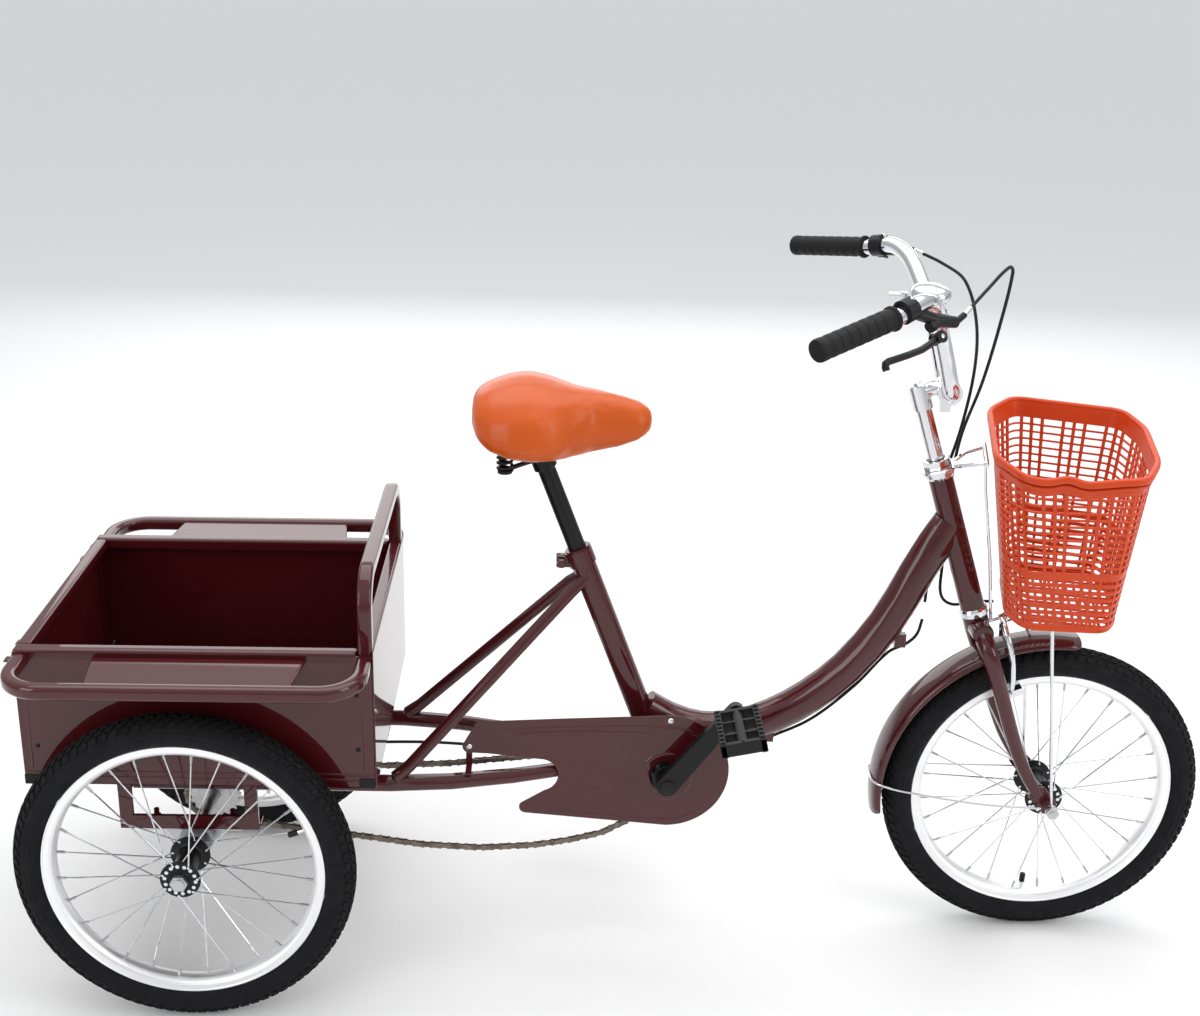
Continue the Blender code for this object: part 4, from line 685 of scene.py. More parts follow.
def make_chain():
    route = chain_route()
    length = sum((b - a).length for a, b in zip(route, route[1:] + route[:1]))
    count = 2 * round(length / CHAIN_PITCH / 2)
    pins = even_steps(route, count)
    parts = []
    for i in range(count):
        a, b = pins[i], pins[(i + 1) % count]
        offset = 0.0030 if i % 2 else 0.0019
        for side in (1, -1):
            parts.append(link_plate(a, b, CHAIN_LINE + side * offset, 0.0009, 0.0040))
        parts.append(rod_y(a.x, a.z, CHAIN_LINE - 0.0036, CHAIN_LINE + 0.0036, 0.0014, 8))
        parts.append(rod_y(a.x, a.z, CHAIN_LINE - 0.0016, CHAIN_LINE + 0.0016, 0.0032, 10))
    make_piece("chain_links", parts, "root", "chain_steel", ["chain"], 30.0)


def toothed_outline(centre, teeth, radius):
    """A sprocket's edge: a round tip and a round root for each tooth."""
    outline = []
    for i in range(teeth * 6):
        turn = 2 * pi * i / (teeth * 6)
        wave = (1 + cos(turn * teeth)) / 2
        r = radius - 0.0030 + 0.0058 * wave ** 1.3
        outline.append((centre[0] + r * cos(turn), centre[1] + r * sin(turn)))
    return outline


def toothed_ring(centre, radius, bore):
    """A flat toothed ring on the chain's line."""
    teeth = round(2 * pi * radius / CHAIN_PITCH)
    outer = toothed_outline(centre, teeth, radius)
    inner = arc(centre, bore, 0, 360 - 360 / len(outer), len(outer) - 1)
    return ring_plate(outer, inner, CHAIN_LINE - 0.0011, 0.0022)


def make_sprockets():
    rear = (REAR_AXLE.x, REAR_AXLE.z)
    parts = [toothed_ring(rear, SPROCKET_RADIUS, REAR_BORE),
             pipe_y(*rear, CHAIN_LINE + 0.0010, CHAIN_LINE + 0.0160, 0.0180, REAR_BORE, 48),
             pipe_y(*rear, CHAIN_LINE - 0.0040, CHAIN_LINE - 0.0008, 0.0220, REAR_BORE, 48)]
    make_piece("rear_sprocket_fine", parts, "right_wheel", "steel", ["rear_sprocket"])
    front = (CRANK_AXIS.x, CRANK_AXIS.z)
    parts = [toothed_ring(front, RING_RADIUS, 0.0580)]
    for i in range(5):
        turn = 2 * pi * i / 5 + 0.3
        arm = slab((0.0375, CHAIN_LINE, 0.0), (0.0225, 0.0014, 0.0065), 0.0010)
        spin = Matrix.Translation((front[0], 0.0, front[1])) @ Matrix.Rotation(-turn, 4, "Y")
        parts.append(moved(arm, spin))
    parts.append(pipe_y(*front, CHAIN_LINE - 0.0018, CHAIN_LINE + 0.0018, 0.0260, 0.0089, 48))
    parts.append(pipe_y(*front, -0.0720, CHAIN_LINE - 0.0005, 0.0203, 0.0089, 48))
    make_piece("chainring_fine", parts, "crank", "black_metal", ["chainring"])


# ---- chain guard -----------------------------------------------------------------------------
GUARD_Y = -0.0625
GUARD_CENTRE = (0.6500, 0.2830)
GUARD_RADIUS = 0.0885
GUARD_TAB = (0.3690, 0.3180)
GUARD_TIP = (0.4495, 0.2215)
GUARD_NOTCH = (0.4700, 0.2740)


def guard_outline():
    outline = arc(GUARD_CENTRE, GUARD_RADIUS, -90, 90, 60)
    outline += [(0.5000, 0.3645), (0.3800, 0.3580)]
    outline += arc(GUARD_TAB, 0.0095, 150, 270, 10)
    outline += [(0.3950, 0.3075)]
    outline += arc(GUARD_NOTCH, 0.0255, 90, -75, 24)
    outline += [(0.4600, 0.2390)]
    outline += arc(GUARD_TIP, 0.0095, 110, 265, 12)
    return outline


def embossed(line, y, width, height):
    """A soft ridge pressed out of a plate, along a line at that plate's face."""
    path = placed([(p.x, y, p.z) for p in line])
    last = len(path) - 1
    swell = [min(1.0, 0.15 + 0.85 * min(i, last - i) / 3) for i in range(last + 1)]
    section = circle_section(width / 2, 12, 2 * height / width)
    return sweep(path, section, Y_AXIS, [(scale, scale) for scale in swell])


def drilled(piece, hole):
    """Cuts a solid out of a piece."""
    bmesh.ops.recalc_face_normals(hole, faces=hole.faces)
    mesh = bpy.data.meshes.new("drill")
    hole.to_mesh(mesh)
    hole.free()
    cutter = bpy.data.objects.new("drill", mesh)
    bpy.context.scene.collection.objects.link(cutter)
    cut = piece.modifiers.new("hole", "BOOLEAN")
    cut.operation = "DIFFERENCE"
    cut.object = cutter
    applied(piece)
    bpy.data.objects.remove(cutter)


def make_chain_guard():
    face = GUARD_Y
    body = moved(plate(guard_outline(), face, 0.0020), BACK)
    piece = make_piece("chain_guard_plate", body, "root", "maroon_paint", ["chain_guard"])
    drilled(piece, rod_y(CRANK_AXIS.x, CRANK_AXIS.z, face - 0.01, face + 0.01, 0.0230, 72))
    soften(piece, 0.0009, 2, 60.0)
    upper = [(0.4180, 0.3450), (0.4900, 0.3505), (0.5700, 0.3535), (0.6350, 0.3545)]
    upper += arc(GUARD_CENTRE, 0.0715, 84, 38, 6)
    lower = [(0.4300, 0.3370), (0.4600, 0.3410), (0.5300, 0.3440), (0.6000, 0.3440), (0.6350, 0.3410)]
    crease = [(0.5050, 0.2420), (0.5350, 0.2490), (0.5560, 0.2560), (0.5640, 0.2660)]
    hem = [(0.4700, 0.2190), (0.5400, 0.2120), (0.6000, 0.2065), (0.6450, 0.2045)]
    hem += arc(GUARD_CENTRE, 0.0790, -84, -20, 8)
    ridges = []
    for line, width in ((upper, 0.0050), (lower, 0.0040), (crease, 0.0026), (hem, 0.0030)):
        path = smooth_path([(x, 0.0, z) for x, z in line], 6)
        ridges.append(embossed(path, face, width, width * 0.22))
    dish = [(0.0385, 0.0), (0.0370, -0.0012), (0.0350, -0.0016), (0.0325, -0.0012),
            (0.0245, 0.0004), (0.0232, 0.0006), (0.0232, 0.0012), (0.0385, 0.0008)]
    centre = Vector((CRANK_AXIS.x, face, CRANK_AXIS.z))
    ridges.append(lathe(dish, frame_along(centre, Y_AXIS), 96))
    make_piece("chain_guard_ridges", ridges, "root", "maroon_paint")
    x, z = GUARD_TAB
    strap = block((x - 0.0045, face + 0.0015, 0.2885), (x + 0.0045, face + 0.0035, z + 0.0040), 0.0006)
    foot = block((x - 0.0044, -0.0900, 0.2885), (x + 0.0044, face + 0.0030, 0.2900), 0.0004)
    make_piece("chain_guard_strap", moved(merged([strap, foot]), BACK), "root", "maroon_paint")
    dome = [(0.0, -0.0024), (0.0018, -0.0023), (0.0036, -0.0016), (0.0046, -0.0004),
            (0.0048, 0.0006), (0.0, 0.0006)]
    screws = []
    for a, b in (GUARD_TAB, (0.6532, 0.3630)):
        screws.append(lathe(dome, frame_along(spot(a, face, b), Y_AXIS), 32))
    make_piece("chain_guard_screws", screws, "root", "chrome")


# ---- cranks and pedals -----------------------------------------------------------------------
def make_pedal(name):
    """A moulded pedal: two toothed treads, end plates, a barrel and cross ribs."""
    centre = joint_place(name + "_spin")
    half_x, half_y, half_z = 0.0310, 0.0480, 0.0125
    parts = []
    for along in (1, -1):
        x = along * (half_x - 0.0045)
        parts.append(slab((x, 0.0, 0.0), (0.0045, half_y, half_z - 0.002), 0.0015))
        for i in range(9):
            y = -half_y + 0.006 + i * (2 * half_y - 0.012) / 8
            parts.append(slab((x, y, 0.0), (0.0030, 0.0024, half_z), 0.0010, 2))
    for end in (1, -1):
        y = end * (half_y - 0.0040)
        parts.append(slab((0.0, y, 0.0), (half_x, 0.0040, half_z - 0.003), 0.0015))
    for y in (-0.016, 0.016):
        parts.append(slab((0.0, y, 0.0), (half_x - 0.003, 0.0022, 0.0075), 0.0008))
    parts.append(slab((0.0, 0.0, 0.0), (0.0022, half_y - 0.003, 0.0105), 0.0008))
    parts.append(pipe_y(0.0, 0.0, -half_y + 0.001, half_y - 0.001, 0.0088, 0.0052, 36))
    tilt = Matrix.Translation(centre) @ Matrix.Rotation(radians(-12.0), 4, "Y")
    make_piece(name + "_cage", moved(merged(parts), tilt), name, "black_plastic", [name])
    panels = []
    for x in (half_x - 0.0006, 0.0006 - half_x):
        for y in (-0.026, 0.026):
            panels.append(slab((x, y, 0.0), (0.0008, 0.0150, 0.0060), 0.0004, 2))
    make_piece(name + "_panels", moved(merged(panels), tilt), name, "black_plastic")


def make_cranks():
    for name, side in (("crank_right", -1), ("crank_left", 1)):
        refined(name, 0.0022, 3, 40.0)
        dome = [(0.0, 0.0018), (0.0070, 0.0014), (0.0092, 0.0), (0.0092, -0.0020), (0.0, -0.0020)]
        seat = frame_along((CRANK_AXIS.x, side * 0.0945, CRANK_AXIS.z), Y_AXIS * side)
        make_piece(name + "_cap", lathe(dome, seat, 40), "crank", "black_plastic")
    make_pedal("pedal_left")
    make_pedal("pedal_right")


# ---- saddle ----------------------------------------------------------------------------------
SADDLE_INSET = 0.0012
SADDLE_SWELL = 0.0050
DOME_X, DOME_RISE, DOME_REACH = 0.4450, 0.0085, 0.048
NOSE_X, SKIRT_DROP = 0.6000, 0.0125
RAIL_HEIGHT = 0.7380
SPRING_X, SPRING_Y, SPRING_FOOT = 0.4190, 0.0500, 0.7300


def inflated(piece, frames, cap, pressure):
    """Blows a closed mesh up as cloth, with no point moved further than the cap."""
    rest = [v.co.copy() for v in piece.data.vertices]
    cloth = piece.modifiers.new("cloth", "CLOTH")
    settings = cloth.settings
    settings.quality = 6
    settings.mass = 0.3
    settings.tension_stiffness = 12
    settings.compression_stiffness = 12
    settings.bending_stiffness = 2.0
    settings.use_pressure = True
    settings.uniform_pressure_force = pressure
    settings.effector_weights.gravity = 0.0
    cloth.point_cache.frame_start = 1
    cloth.point_cache.frame_end = frames
    scene = bpy.context.scene
    for number in range(1, frames + 1):
        scene.frame_set(number)
    graph = bpy.context.evaluated_depsgraph_get()
    blown = piece.evaluated_get(graph).to_mesh()
    places = [v.co.copy() for v in blown.vertices]
    piece.evaluated_get(graph).to_mesh_clear()
    piece.modifiers.remove(cloth)
    scene.frame_set(1)
    for vertex, start, end in zip(piece.data.vertices, rest, places):
        shift = end - start
        if shift.length > cap:
            shift *= cap / shift.length
        vertex.co = start + shift


def fit_to_box(piece, low, high):
    """Stretches a piece's mesh so that it just fills a box."""
    points = [v.co.copy() for v in piece.data.vertices]
    for axis in range(3):
        first = min(p[axis] for p in points)
        last = max(p[axis] for p in points)
        scale = (high[axis] - low[axis]) / (last - first)
        for vertex in piece.data.vertices:
            vertex.co[axis] = low[axis] + (vertex.co[axis] - first) * scale


def rounded_saddle(pad):
    """Lifts the dome over the springs and deepens the skirt towards the nose."""
    shifts = []
    for vertex in pad.data.vertices:
        facing_up = 0.5 + 0.5 * vertex.normal.z
        ahead = vertex.co.x - REAR_AXLE.x - DOME_X
        rise = DOME_RISE * bell_curve(ahead, DOME_REACH)
        forward = min(1.0, max(0.0, (ahead + 0.030) / (NOSE_X - DOME_X)))
        shifts.append(rise * facing_up - SKIRT_DROP * forward * (1.0 - facing_up))
    for vertex, shift in zip(pad.data.vertices, shifts):
        vertex.co.z += shift


def eased(piece, iterations):
    ease = piece.modifiers.new("ease", "SMOOTH")
    ease.factor = 0.5
    ease.iterations = iterations


def make_saddle():
    """A padded cover, blown up over the CAD saddle and then shaped."""
    bm = node_mesh("saddle")
    bmesh.ops.recalc_face_normals(bm, faces=bm.faces)
    for vertex in bm.verts:
        vertex.normal_update()
    for vertex in bm.verts:
        vertex.co -= vertex.normal * SADDLE_INSET
    pad = make_piece("saddle_pad", bm, None, "orange_vinyl")
    remesh = pad.modifiers.new("remesh", "REMESH")
    remesh.mode = "VOXEL"
    remesh.voxel_size = 0.0050
    applied(pad)
    eased(pad, 4)
    applied(pad)
    inflated(pad, 20, SADDLE_SWELL, 4.0)
    eased(pad, 5)
    fine = pad.modifiers.new("fine", "SUBSURF")
    fine.levels = 1
    fine.render_levels = 1
    applied(pad)
    low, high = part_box("saddle")
    fit_to_box(pad, low + Vector((0.0045, 0.0, 0.0)), high + Vector((0.0020, 0.0, 0.0)))
    rounded_saddle(pad)
    pad.data.materials.clear()
    pad.data.materials.append(MATERIALS["orange_vinyl"])
    pad.data.shade_smooth()
    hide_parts("saddle")
    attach(pad, "seat")


def make_saddle_frame():
    """Clamp, rails and two coil springs."""
    seat_axis = Vector(JOINTS["seat_height"]["axis"]).normalized()
    top = spot(0.5180, 0.0, 0.6000) + seat_axis * 0.1420
    parts = [pipe(top - seat_axis * 0.0160, top + seat_axis * 0.0010, 0.0165, 0.0129, 48),
             rod_y(top.x, RAIL_HEIGHT, -0.0290, 0.0290, 0.0085, 32, 0.0010)]
    for side in (1, -1):
        parts.append(rod_y(top.x, RAIL_HEIGHT, side * 0.0265, side * 0.0330, 0.0068, 6))
        rail = placed([(SPRING_X, side * SPRING_Y, SPRING_FOOT), (0.4400, side * 0.0340, 0.7330),
                       (0.4681, side * 0.0220, RAIL_HEIGHT), (0.5200, side * 0.0200, 0.7500),
                       (0.5700, side * 0.0120, 0.7700)])
        parts.append(tube(smooth_path(rail, 6), 0.0034, 14))
    nose = spot(0.5700, 0.0, 0.7700)
    parts.append(rod_y(nose.x, nose.z, -0.0160, 0.0160, 0.0040, 20))
    make_piece("saddle_rails", parts, "seat", "black_metal", ["saddle_frame"])
    turns, steps, rise, radius = 3.5, 24, 0.0260, 0.0096
    coils = []
    for side in (1, -1):
        centre = spot(SPRING_X, side * SPRING_Y, SPRING_FOOT)
        count = int(turns * steps)
        helix = [centre + on_circle(radius, 2 * pi * i / steps, rise * i / count) for i in range(count + 1)]
        coils.append(tube(helix, 0.0022, 10))
        coils.append(rod(centre - Z_AXIS * 0.0035, centre + Z_AXIS * 0.0010, 0.0100, 32, 0.0010))
    make_piece("saddle_springs", coils, "seat", "black_metal")
    refined("seat_post", 0.0008)


# ---- cargo box -------------------------------------------------------------------------------
BOX_REAR, BOX_FRONT = -0.2130, 0.2545
BOX_HALF, BOX_BOTTOM, BOX_TOP, SHEET = 0.2000, 0.3330, 0.5300, 0.0020
RAIL_LOW, RAIL_WIDTH, RAIL_FRONT = 0.5120, 0.0200, 0.2325
TAILGATE_AXIS_X, TAILGATE_AXIS_Z = -0.2150, 0.3400


def span(side, a, b):
    """Two distances from the middle as low and high Y on one side."""
    return sorted((side * a, side * b))


def side_block(side, inner, outer, rear, front, foot, head, *edge):
    """A block on one side of the box, between two distances from the middle."""
    low, high = span(side, inner, outer)
    return design_block((rear, low, foot), (front, high, head), *edge)


def make_box_side(side, name):
    half, inner_rail = BOX_HALF, BOX_HALF - RAIL_WIDTH
    parts = [
        side_block(side, half - SHEET, half, BOX_REAR, BOX_FRONT - 0.0024, BOX_BOTTOM, BOX_TOP - 0.004),
        side_block(side, inner_rail, half, BOX_REAR, RAIL_FRONT, RAIL_LOW, BOX_TOP, 0.0045, 5),
        side_block(side, half - 0.0150, half, BOX_REAR, RAIL_FRONT, BOX_BOTTOM, BOX_BOTTOM + SHEET),
        side_block(side, 0.1802, half - 0.0005, BOX_REAR, BOX_REAR + SHEET, BOX_BOTTOM, RAIL_LOW + 0.002),
    ]
    face = side * (half - 0.0002)
    ridges = [((BOX_REAR + 0.003, height), (BOX_FRONT - 0.004, height), 0.0022)
              for height in (0.3440, 0.3520)]
    ridges += [((x, 0.3580), (x, 0.5060), 0.0016) for x in (BOX_REAR + 0.0120, BOX_FRONT - 0.0150)]
    for (x0, z0), (x1, z1), radius in ridges:
        line = placed([(x0, face, z0), (x1, face, z1)])
        parts.append(sweep(line, circle_section(radius, 10, 0.45), Y_AXIS))
    make_piece(name + "_fine", parts, "root", "maroon_paint", [name])
    keeper = [side_block(side, 0.1860, 0.1990, -0.2250, BOX_REAR + 0.001, foot, foot + 0.0027)
              for foot in (0.5108, 0.4985)]
    make_piece(name + "_keeper", keeper, "root", "maroon_paint")
    dome = [(0.0, 0.0018), (0.0018, 0.0016), (0.0030, 0.0008), (0.0033, -0.0004), (0.0, -0.0004)]
    screws = [lathe(dome, frame_along(spot(x, side * half, height), Y_AXIS * side), 24)
              for x in (BOX_REAR + 0.0210, BOX_FRONT - 0.0230) for height in (0.3900, 0.4700)]
    make_piece(name + "_screws", screws, "root", "black_metal")
    caps = []
    for rear, front in ((BOX_REAR - 0.0004, BOX_REAR + 0.0180),
                        (BOX_FRONT - 0.0230, BOX_FRONT - 0.0026)):
        caps.append(side_block(side, half - 0.0010, half + 0.0012, rear, front,
                               BOX_BOTTOM, BOX_BOTTOM + 0.0140))
    make_piece(name + "_corner_caps", caps, "root", "black_plastic")


def make_box_front():
    """The front panel, its top rail and the hoop above it."""
    face = BOX_FRONT - SHEET
    post_y, size, radius = 0.1880, 0.0190, 0.0450
    centre = face - size / 2 + 0.0005
    low, joint, high = 0.3400, 0.5200, 0.6260
    middle = (centre, 0, high)
    path = [Vector((centre, -post_y, low)), Vector((centre, -post_y, joint))]
    path += rounded_corner((centre, -post_y, low), (centre, -post_y, high), middle, radius, 12)
    path += rounded_corner(middle, (centre, post_y, high), (centre, post_y, low), radius, 12)
    path += [Vector((centre, post_y, joint)), Vector((centre, post_y, low))]
    parts = [
        design_block((face, -BOX_HALF, BOX_BOTTOM), (BOX_FRONT, BOX_HALF, BOX_TOP)),
        design_block((face - 0.0180, -post_y, RAIL_LOW), (face + 0.0010, post_y, BOX_TOP), 0.0040, 5),
        sweep(placed(path), rounded_section(size, size, 0.0045), X_AXIS),
    ]
    make_piece("box_front_fine", parts, "root", "maroon_paint", ["box_front_hoop"])


def make_box():
    make_box_side(-1, "box_side_right")
    make_box_side(1, "box_side_left")
    make_box_front()
    refined("box_floor", 0.0007)
    low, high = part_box("box_floor")
    stops = [block((REAR_AXLE.x - 0.2100, low.y, low.z), (low.x + 0.0010, high.y, high.z), 0.0005, 2)]
    inside = BOX_REAR + SHEET
    for side in (1, -1):
        stops.append(side_block(side, 0.1740, 0.1810, inside + 0.0006, inside + 0.0016,
                                0.3440, 0.5112, 0.0004))
    make_piece("box_stops", stops, "root", "maroon_paint")


def make_tailgate():
    half = BOX_HALF - RAIL_WIDTH - 0.0006
    rear = BOX_REAR
    parts = [
        design_block((rear, -half, 0.3380), (rear + SHEET, half, BOX_TOP - 0.004)),
        design_block((rear, -half, RAIL_LOW), (rear + 0.0180, half, BOX_TOP), 0.0045, 5),
        design_block((rear + 0.0015, -0.1735, 0.3378), (rear + 0.0042, 0.1735, 0.3418), 0.0004),
        rod_y(REAR_AXLE.x + TAILGATE_AXIS_X, TAILGATE_AXIS_Z, -half, half, 0.0042, 24, 0.0006),
    ]
    for side in (1, -1):
        low, high = span(side, 0.1380, 0.1500)
        lug = [(low, 0.4980), (high, 0.4980), (high, 0.5140), (low, 0.5140)]
        parts.append(moved(plate(lug, -0.2260, 0.0140, "X", 0.0010), BACK))
    make_piece("tailgate_fine", parts, "tailgate", "maroon_paint", ["tailgate"])
    for name in ("latch_right", "latch_left"):
        refined(name, 0.0009, 2)


def make_side_guard(side, name):
    """A tube loop beside the box, with a sheet cover folded over its middle."""
    size = 0.0200
    centre = 0.2940 - size / 2
    start = BOX_HALF + 0.0003
    height = 0.5150
    rear, front, radius = -0.2030, 0.2420, 0.0500
    feet = [Vector((rear, start, height)), Vector((front, start, height))]
    side_middle = (0, centre, height)
    path = [feet[0]]
    path += rounded_corner(feet[0], (rear, centre, height), side_middle, radius, 14)
    path += rounded_corner(side_middle, (front, centre, height), feet[1], radius, 14)
    path += [feet[1]]
    loop = sweep(placed(path), rounded_section(size, size, 0.0070, 5), Z_AXIS)
    outline = [(-0.1080, start), (0.1650, start), (0.1550, centre), (-0.0960, centre)]
    cover = moved(plate(outline, height + 0.0040, 0.0020, "Z", 0.0006), BACK)
    folds = []
    for inner, outer in ((-0.1080, -0.0960), (0.1650, 0.1550)):
        line = placed([(inner, start, height + 0.0030), (outer, centre, height + 0.0030)])
        folds.append(tube(line, 0.0026, 12))
    guard = merged([loop, cover, *folds])
    if side < 0:
        moved(guard, Matrix.Diagonal((1.0, -1.0, 1.0, 1.0)))
    make_piece(name + "_fine", guard, "root", "maroon_paint", [name])


# ---- steering parts --------------------------------------------------------------------------
def make_fork():
    """Steerer, crown, tapering legs and dropouts, and the brake's bolt."""
    crown_centre = on_head(-0.0300)
    caliper_top = crown_centre + CALIPER_AXIS * 0.0565
    parts = [rod(on_head(-0.0310), on_head(-0.0126), 0.0178, 40, 0.0008)]
    parts.append(rod(on_head(0.0), on_head(0.2300), 0.0127, 32))
    crown = [crown_centre + Y_AXIS * y for y in (-0.034, 0.034)]
    parts.append(tube(crown, 0.0150, 28, STEER_AXIS))
    for side in (1, -1):
        end = crown_centre + Y_AXIS * side * 0.034
        parts.append(rod(end, end + Y_AXIS * side * 0.0040, 0.0146, 28, 0.0035))
        leg = [(1.0880, 0.0240, 0.4870), (1.0915, 0.0440, 0.4730), (1.1020, 0.0500, 0.4440),
               (1.1136, 0.0500, 0.4121), (1.1381, 0.0500, 0.3413), (1.1600, 0.0500, 0.2880),
               (1.1850, 0.0500, 0.2450)]
        path = smooth_path(placed([(x, side * y, z) for x, y, z in leg]), 6)
        sizes = [1.0 - 0.36 * i / (len(path) - 1) for i in range(len(path))]
        parts.append(tube(path, 0.0132, 28, X_AXIS, sizes))
        dropout = [(1.1750, 0.2550), (1.1720, 0.2420), (1.1850, 0.2265), (1.1940, 0.2180),
                   (1.2020, 0.2150), (1.2100, 0.2180), (1.2140, 0.2290), (1.2080, 0.2420),
                   (1.1930, 0.2580)]
        low = span(side, 0.0470, 0.0530)[0]
        parts.append(moved(plate(dropout, low, 0.0060, "Y", 0.0012), BACK))
    make_piece("fork_fine", parts, "steering", "maroon_paint", ["fork"])
    bolt = [rod(crown_centre, caliper_top, 0.0030, 16, 0.0005),
            rod(caliper_top - CALIPER_AXIS * 0.0050, caliper_top, 0.0062, 6)]
    make_piece("fork_brake_bolt", bolt, "steering", "chrome")


FENDER_FRONT, FENDER_TAIL, STAY_ANGLE = 83.0, 189.0, 176.0


def fender_point(angle, radius, y=0.0):
    a = radians(angle)
    return Vector((FRONT_AXLE.x + radius * cos(a), y, FRONT_AXLE.z + radius * sin(a)))


def make_front_fender():
    """A crowned strip with rolled edges, and the wire stay round its tail."""
    outer = [(-0.0280, 0.2366), (-0.0284, 0.2380), (-0.0278, 0.2400), (-0.0255, 0.2428),
             (-0.0205, 0.2452), (-0.0130, 0.2468), (0.0, 0.2475)]
    outer += [(-y, r) for y, r in reversed(outer[:-1])]
    inner = [(y * 0.955, r - 0.0014) for y, r in reversed(outer)]
    section = outer + inner
    bm = bmesh.new()
    rings = []
    steps = 72
    for step in range(steps + 1):
        angle = FENDER_FRONT + (FENDER_TAIL - FENDER_FRONT) * step / steps
        end = min(step, steps - step) / 3
        draw = 1.0 if end >= 1 else 0.72 + 0.28 * (1 - (1 - end) ** 2) ** 0.5
        rings.append([bm.verts.new(fender_point(angle, r, y * draw)) for y, r in section])
    joined(bm, rings)
    make_piece("front_fender_fine", bm, "steering", "maroon_paint", ["front_fender"])
    tail = fender_point(STAY_ANGLE, 0.2482)
    half = [(FRONT_AXLE.x - 0.0130, 0.0600, FRONT_AXLE.z), (FRONT_AXLE.x - 0.1000, 0.0560, 0.2320),
            (FRONT_AXLE.x - 0.2100, 0.0400, 0.2420), (tail.x + 0.0080, 0.0300, tail.z),
            (tail.x, 0.0180, tail.z)]
    route = half + [(tail.x - 0.0006, 0.0, tail.z)] + list(reversed(mirrored(half)))
    make_piece("front_fender_stay", tube(smooth_path(route, 6), 0.0016, 12), "steering", "chrome")


BASKET_BOTTOM, BASKET_TOP, BASKET_MIDDLE_X = 0.5400, 0.7850, 1.175
# half of the basket's plan at its rim and at its bottom, from the back to the front
RIM_PLAN = [(1.0760, 0.0880), (1.1110, 0.1460), (1.2570, 0.1240), (1.2780, 0.0600)]
BOTTOM_PLAN = [(1.1140, 0.0560), (1.1360, 0.0960), (1.2450, 0.0850), (1.2600, 0.0520)]
BASKET_COLUMNS = 168
BASKET_BAYS = (5, 2, 2)
BASKET_WALL = 0.0030


def basket_ring(height, inset, count):
    """The basket's outline at a height, with round corners, as a number of even points."""
    t = (height - BASKET_BOTTOM) / (BASKET_TOP - BASKET_BOTTOM)
    half = []
    for (x0, y0), (x1, y1) in zip(BOTTOM_PLAN, RIM_PLAN):
        x = x0 + (x1 - x0) * t
        inward = inset if x < BASKET_MIDDLE_X else -inset
        half.append(Vector((x + inward, y0 + (y1 - y0) * t - inset, height)))
    corners = half + list(reversed(mirrored(half)))
    outline = []
    for i, corner in enumerate(corners):
        before, after = corners[i - 1], corners[(i + 1) % len(corners)]
        reach = min(0.018, (before - corner).length * 0.45, (after - corner).length * 0.45)
        start = corner + (before - corner).normalized() * reach
        end = corner + (after - corner).normalized() * reach
        for step in range(7):
            s = step / 6
            outline.append(start * (1 - s) ** 2 + corner * 2 * s * (1 - s) + end * s ** 2)
    return even_steps(placed(outline), count)


def basket_rows():
    """(height, open) pairs up the wall: small holes, a plain band, then rows of tall slots."""
    rows = [(BASKET_BOTTOM, False), (0.5450, False)]
    height = 0.5490
    for _ in range(7):
        rows.append((height, True))
        rows.append((height + 0.0062, False))
        height += 0.0112
    height += 0.0060
    while height < 0.7540:
        rows.append((height, True))
        rows.append((height + 0.0078, False))
        height += 0.0105
    rows.append((0.7660, False))
    rows.append((0.7780, False))
    return rows


def basket_bars():
    """Marks the wall's columns as bars or gaps: wide slots with two narrow ones between them."""
    marks = []
    bay = 0
    while len(marks) < BASKET_COLUMNS:
        marks.append(True)
        marks += [False] * BASKET_BAYS[bay % 3]
        bay += 1
    return marks[:BASKET_COLUMNS]


def rim_dip(point):
    """Draws the rim down on both sides of a small peak, on the right-hand side only."""
    if point.z < 0.75:
        return point
    along = point.x - REAR_AXLE.x - 1.1700
    near_side = max(0.0, min(1.0, (-point.y - 0.085) / 0.02))
    low = -0.0080 * near_side * bell_curve(along, 0.052)
    peak = 0.0075 * near_side * bell_curve(along + 0.010, 0.017)
    return Vector((point.x, point.y, point.z + low + peak))


def make_basket():
    turn = steered(BASKET_TURN)
    bm = bmesh.new()
    rows = basket_rows()
    bars = basket_bars()
    columns = BASKET_COLUMNS
    rings = []
    for height, _ in rows:
        rings.append([bm.verts.new(turn @ rim_dip(p)) for p in basket_ring(height, 0.0005, columns)])
    for row, (lower, upper) in enumerate(zip(rings, rings[1:])):
        for i in range(columns):
            if rows[row][1] and not bars[i]:
                continue
            j = (i + 1) % columns
            bm.faces.new((lower[i], lower[j], upper[j], upper[i]))
    wall = make_piece("basket_wall", bm, None, "orange_plastic", ["basket"], 50.0)
    thick = wall.modifiers.new("thick", "SOLIDIFY")
    thick.thickness = BASKET_WALL
    thick.offset = -1.0
    applied(wall)
    soften(wall, 0.0004, 1, 50.0)
    wall.data.materials.clear()
    wall.data.materials.append(MATERIALS["orange_plastic"])
    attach(wall, "steering")
    parts = []
    for height, inset, wide, tall in ((0.7790, -0.0010, 0.0080, 0.0100), (0.7690, 0.0, 0.0066, 0.0050),
                                      (0.5425, 0.0022, 0.0052, 0.0080)):
        line = [turn @ rim_dip(p) for p in basket_ring(height, inset, 320)]
        section = rounded_section(wide, tall, min(wide, tall) * 0.42)
        parts.append(sweep(line, section, Z_AXIS, None, True))
    make_piece("basket_rim", parts, "steering", "orange_plastic")
    make_basket_floor(turn)


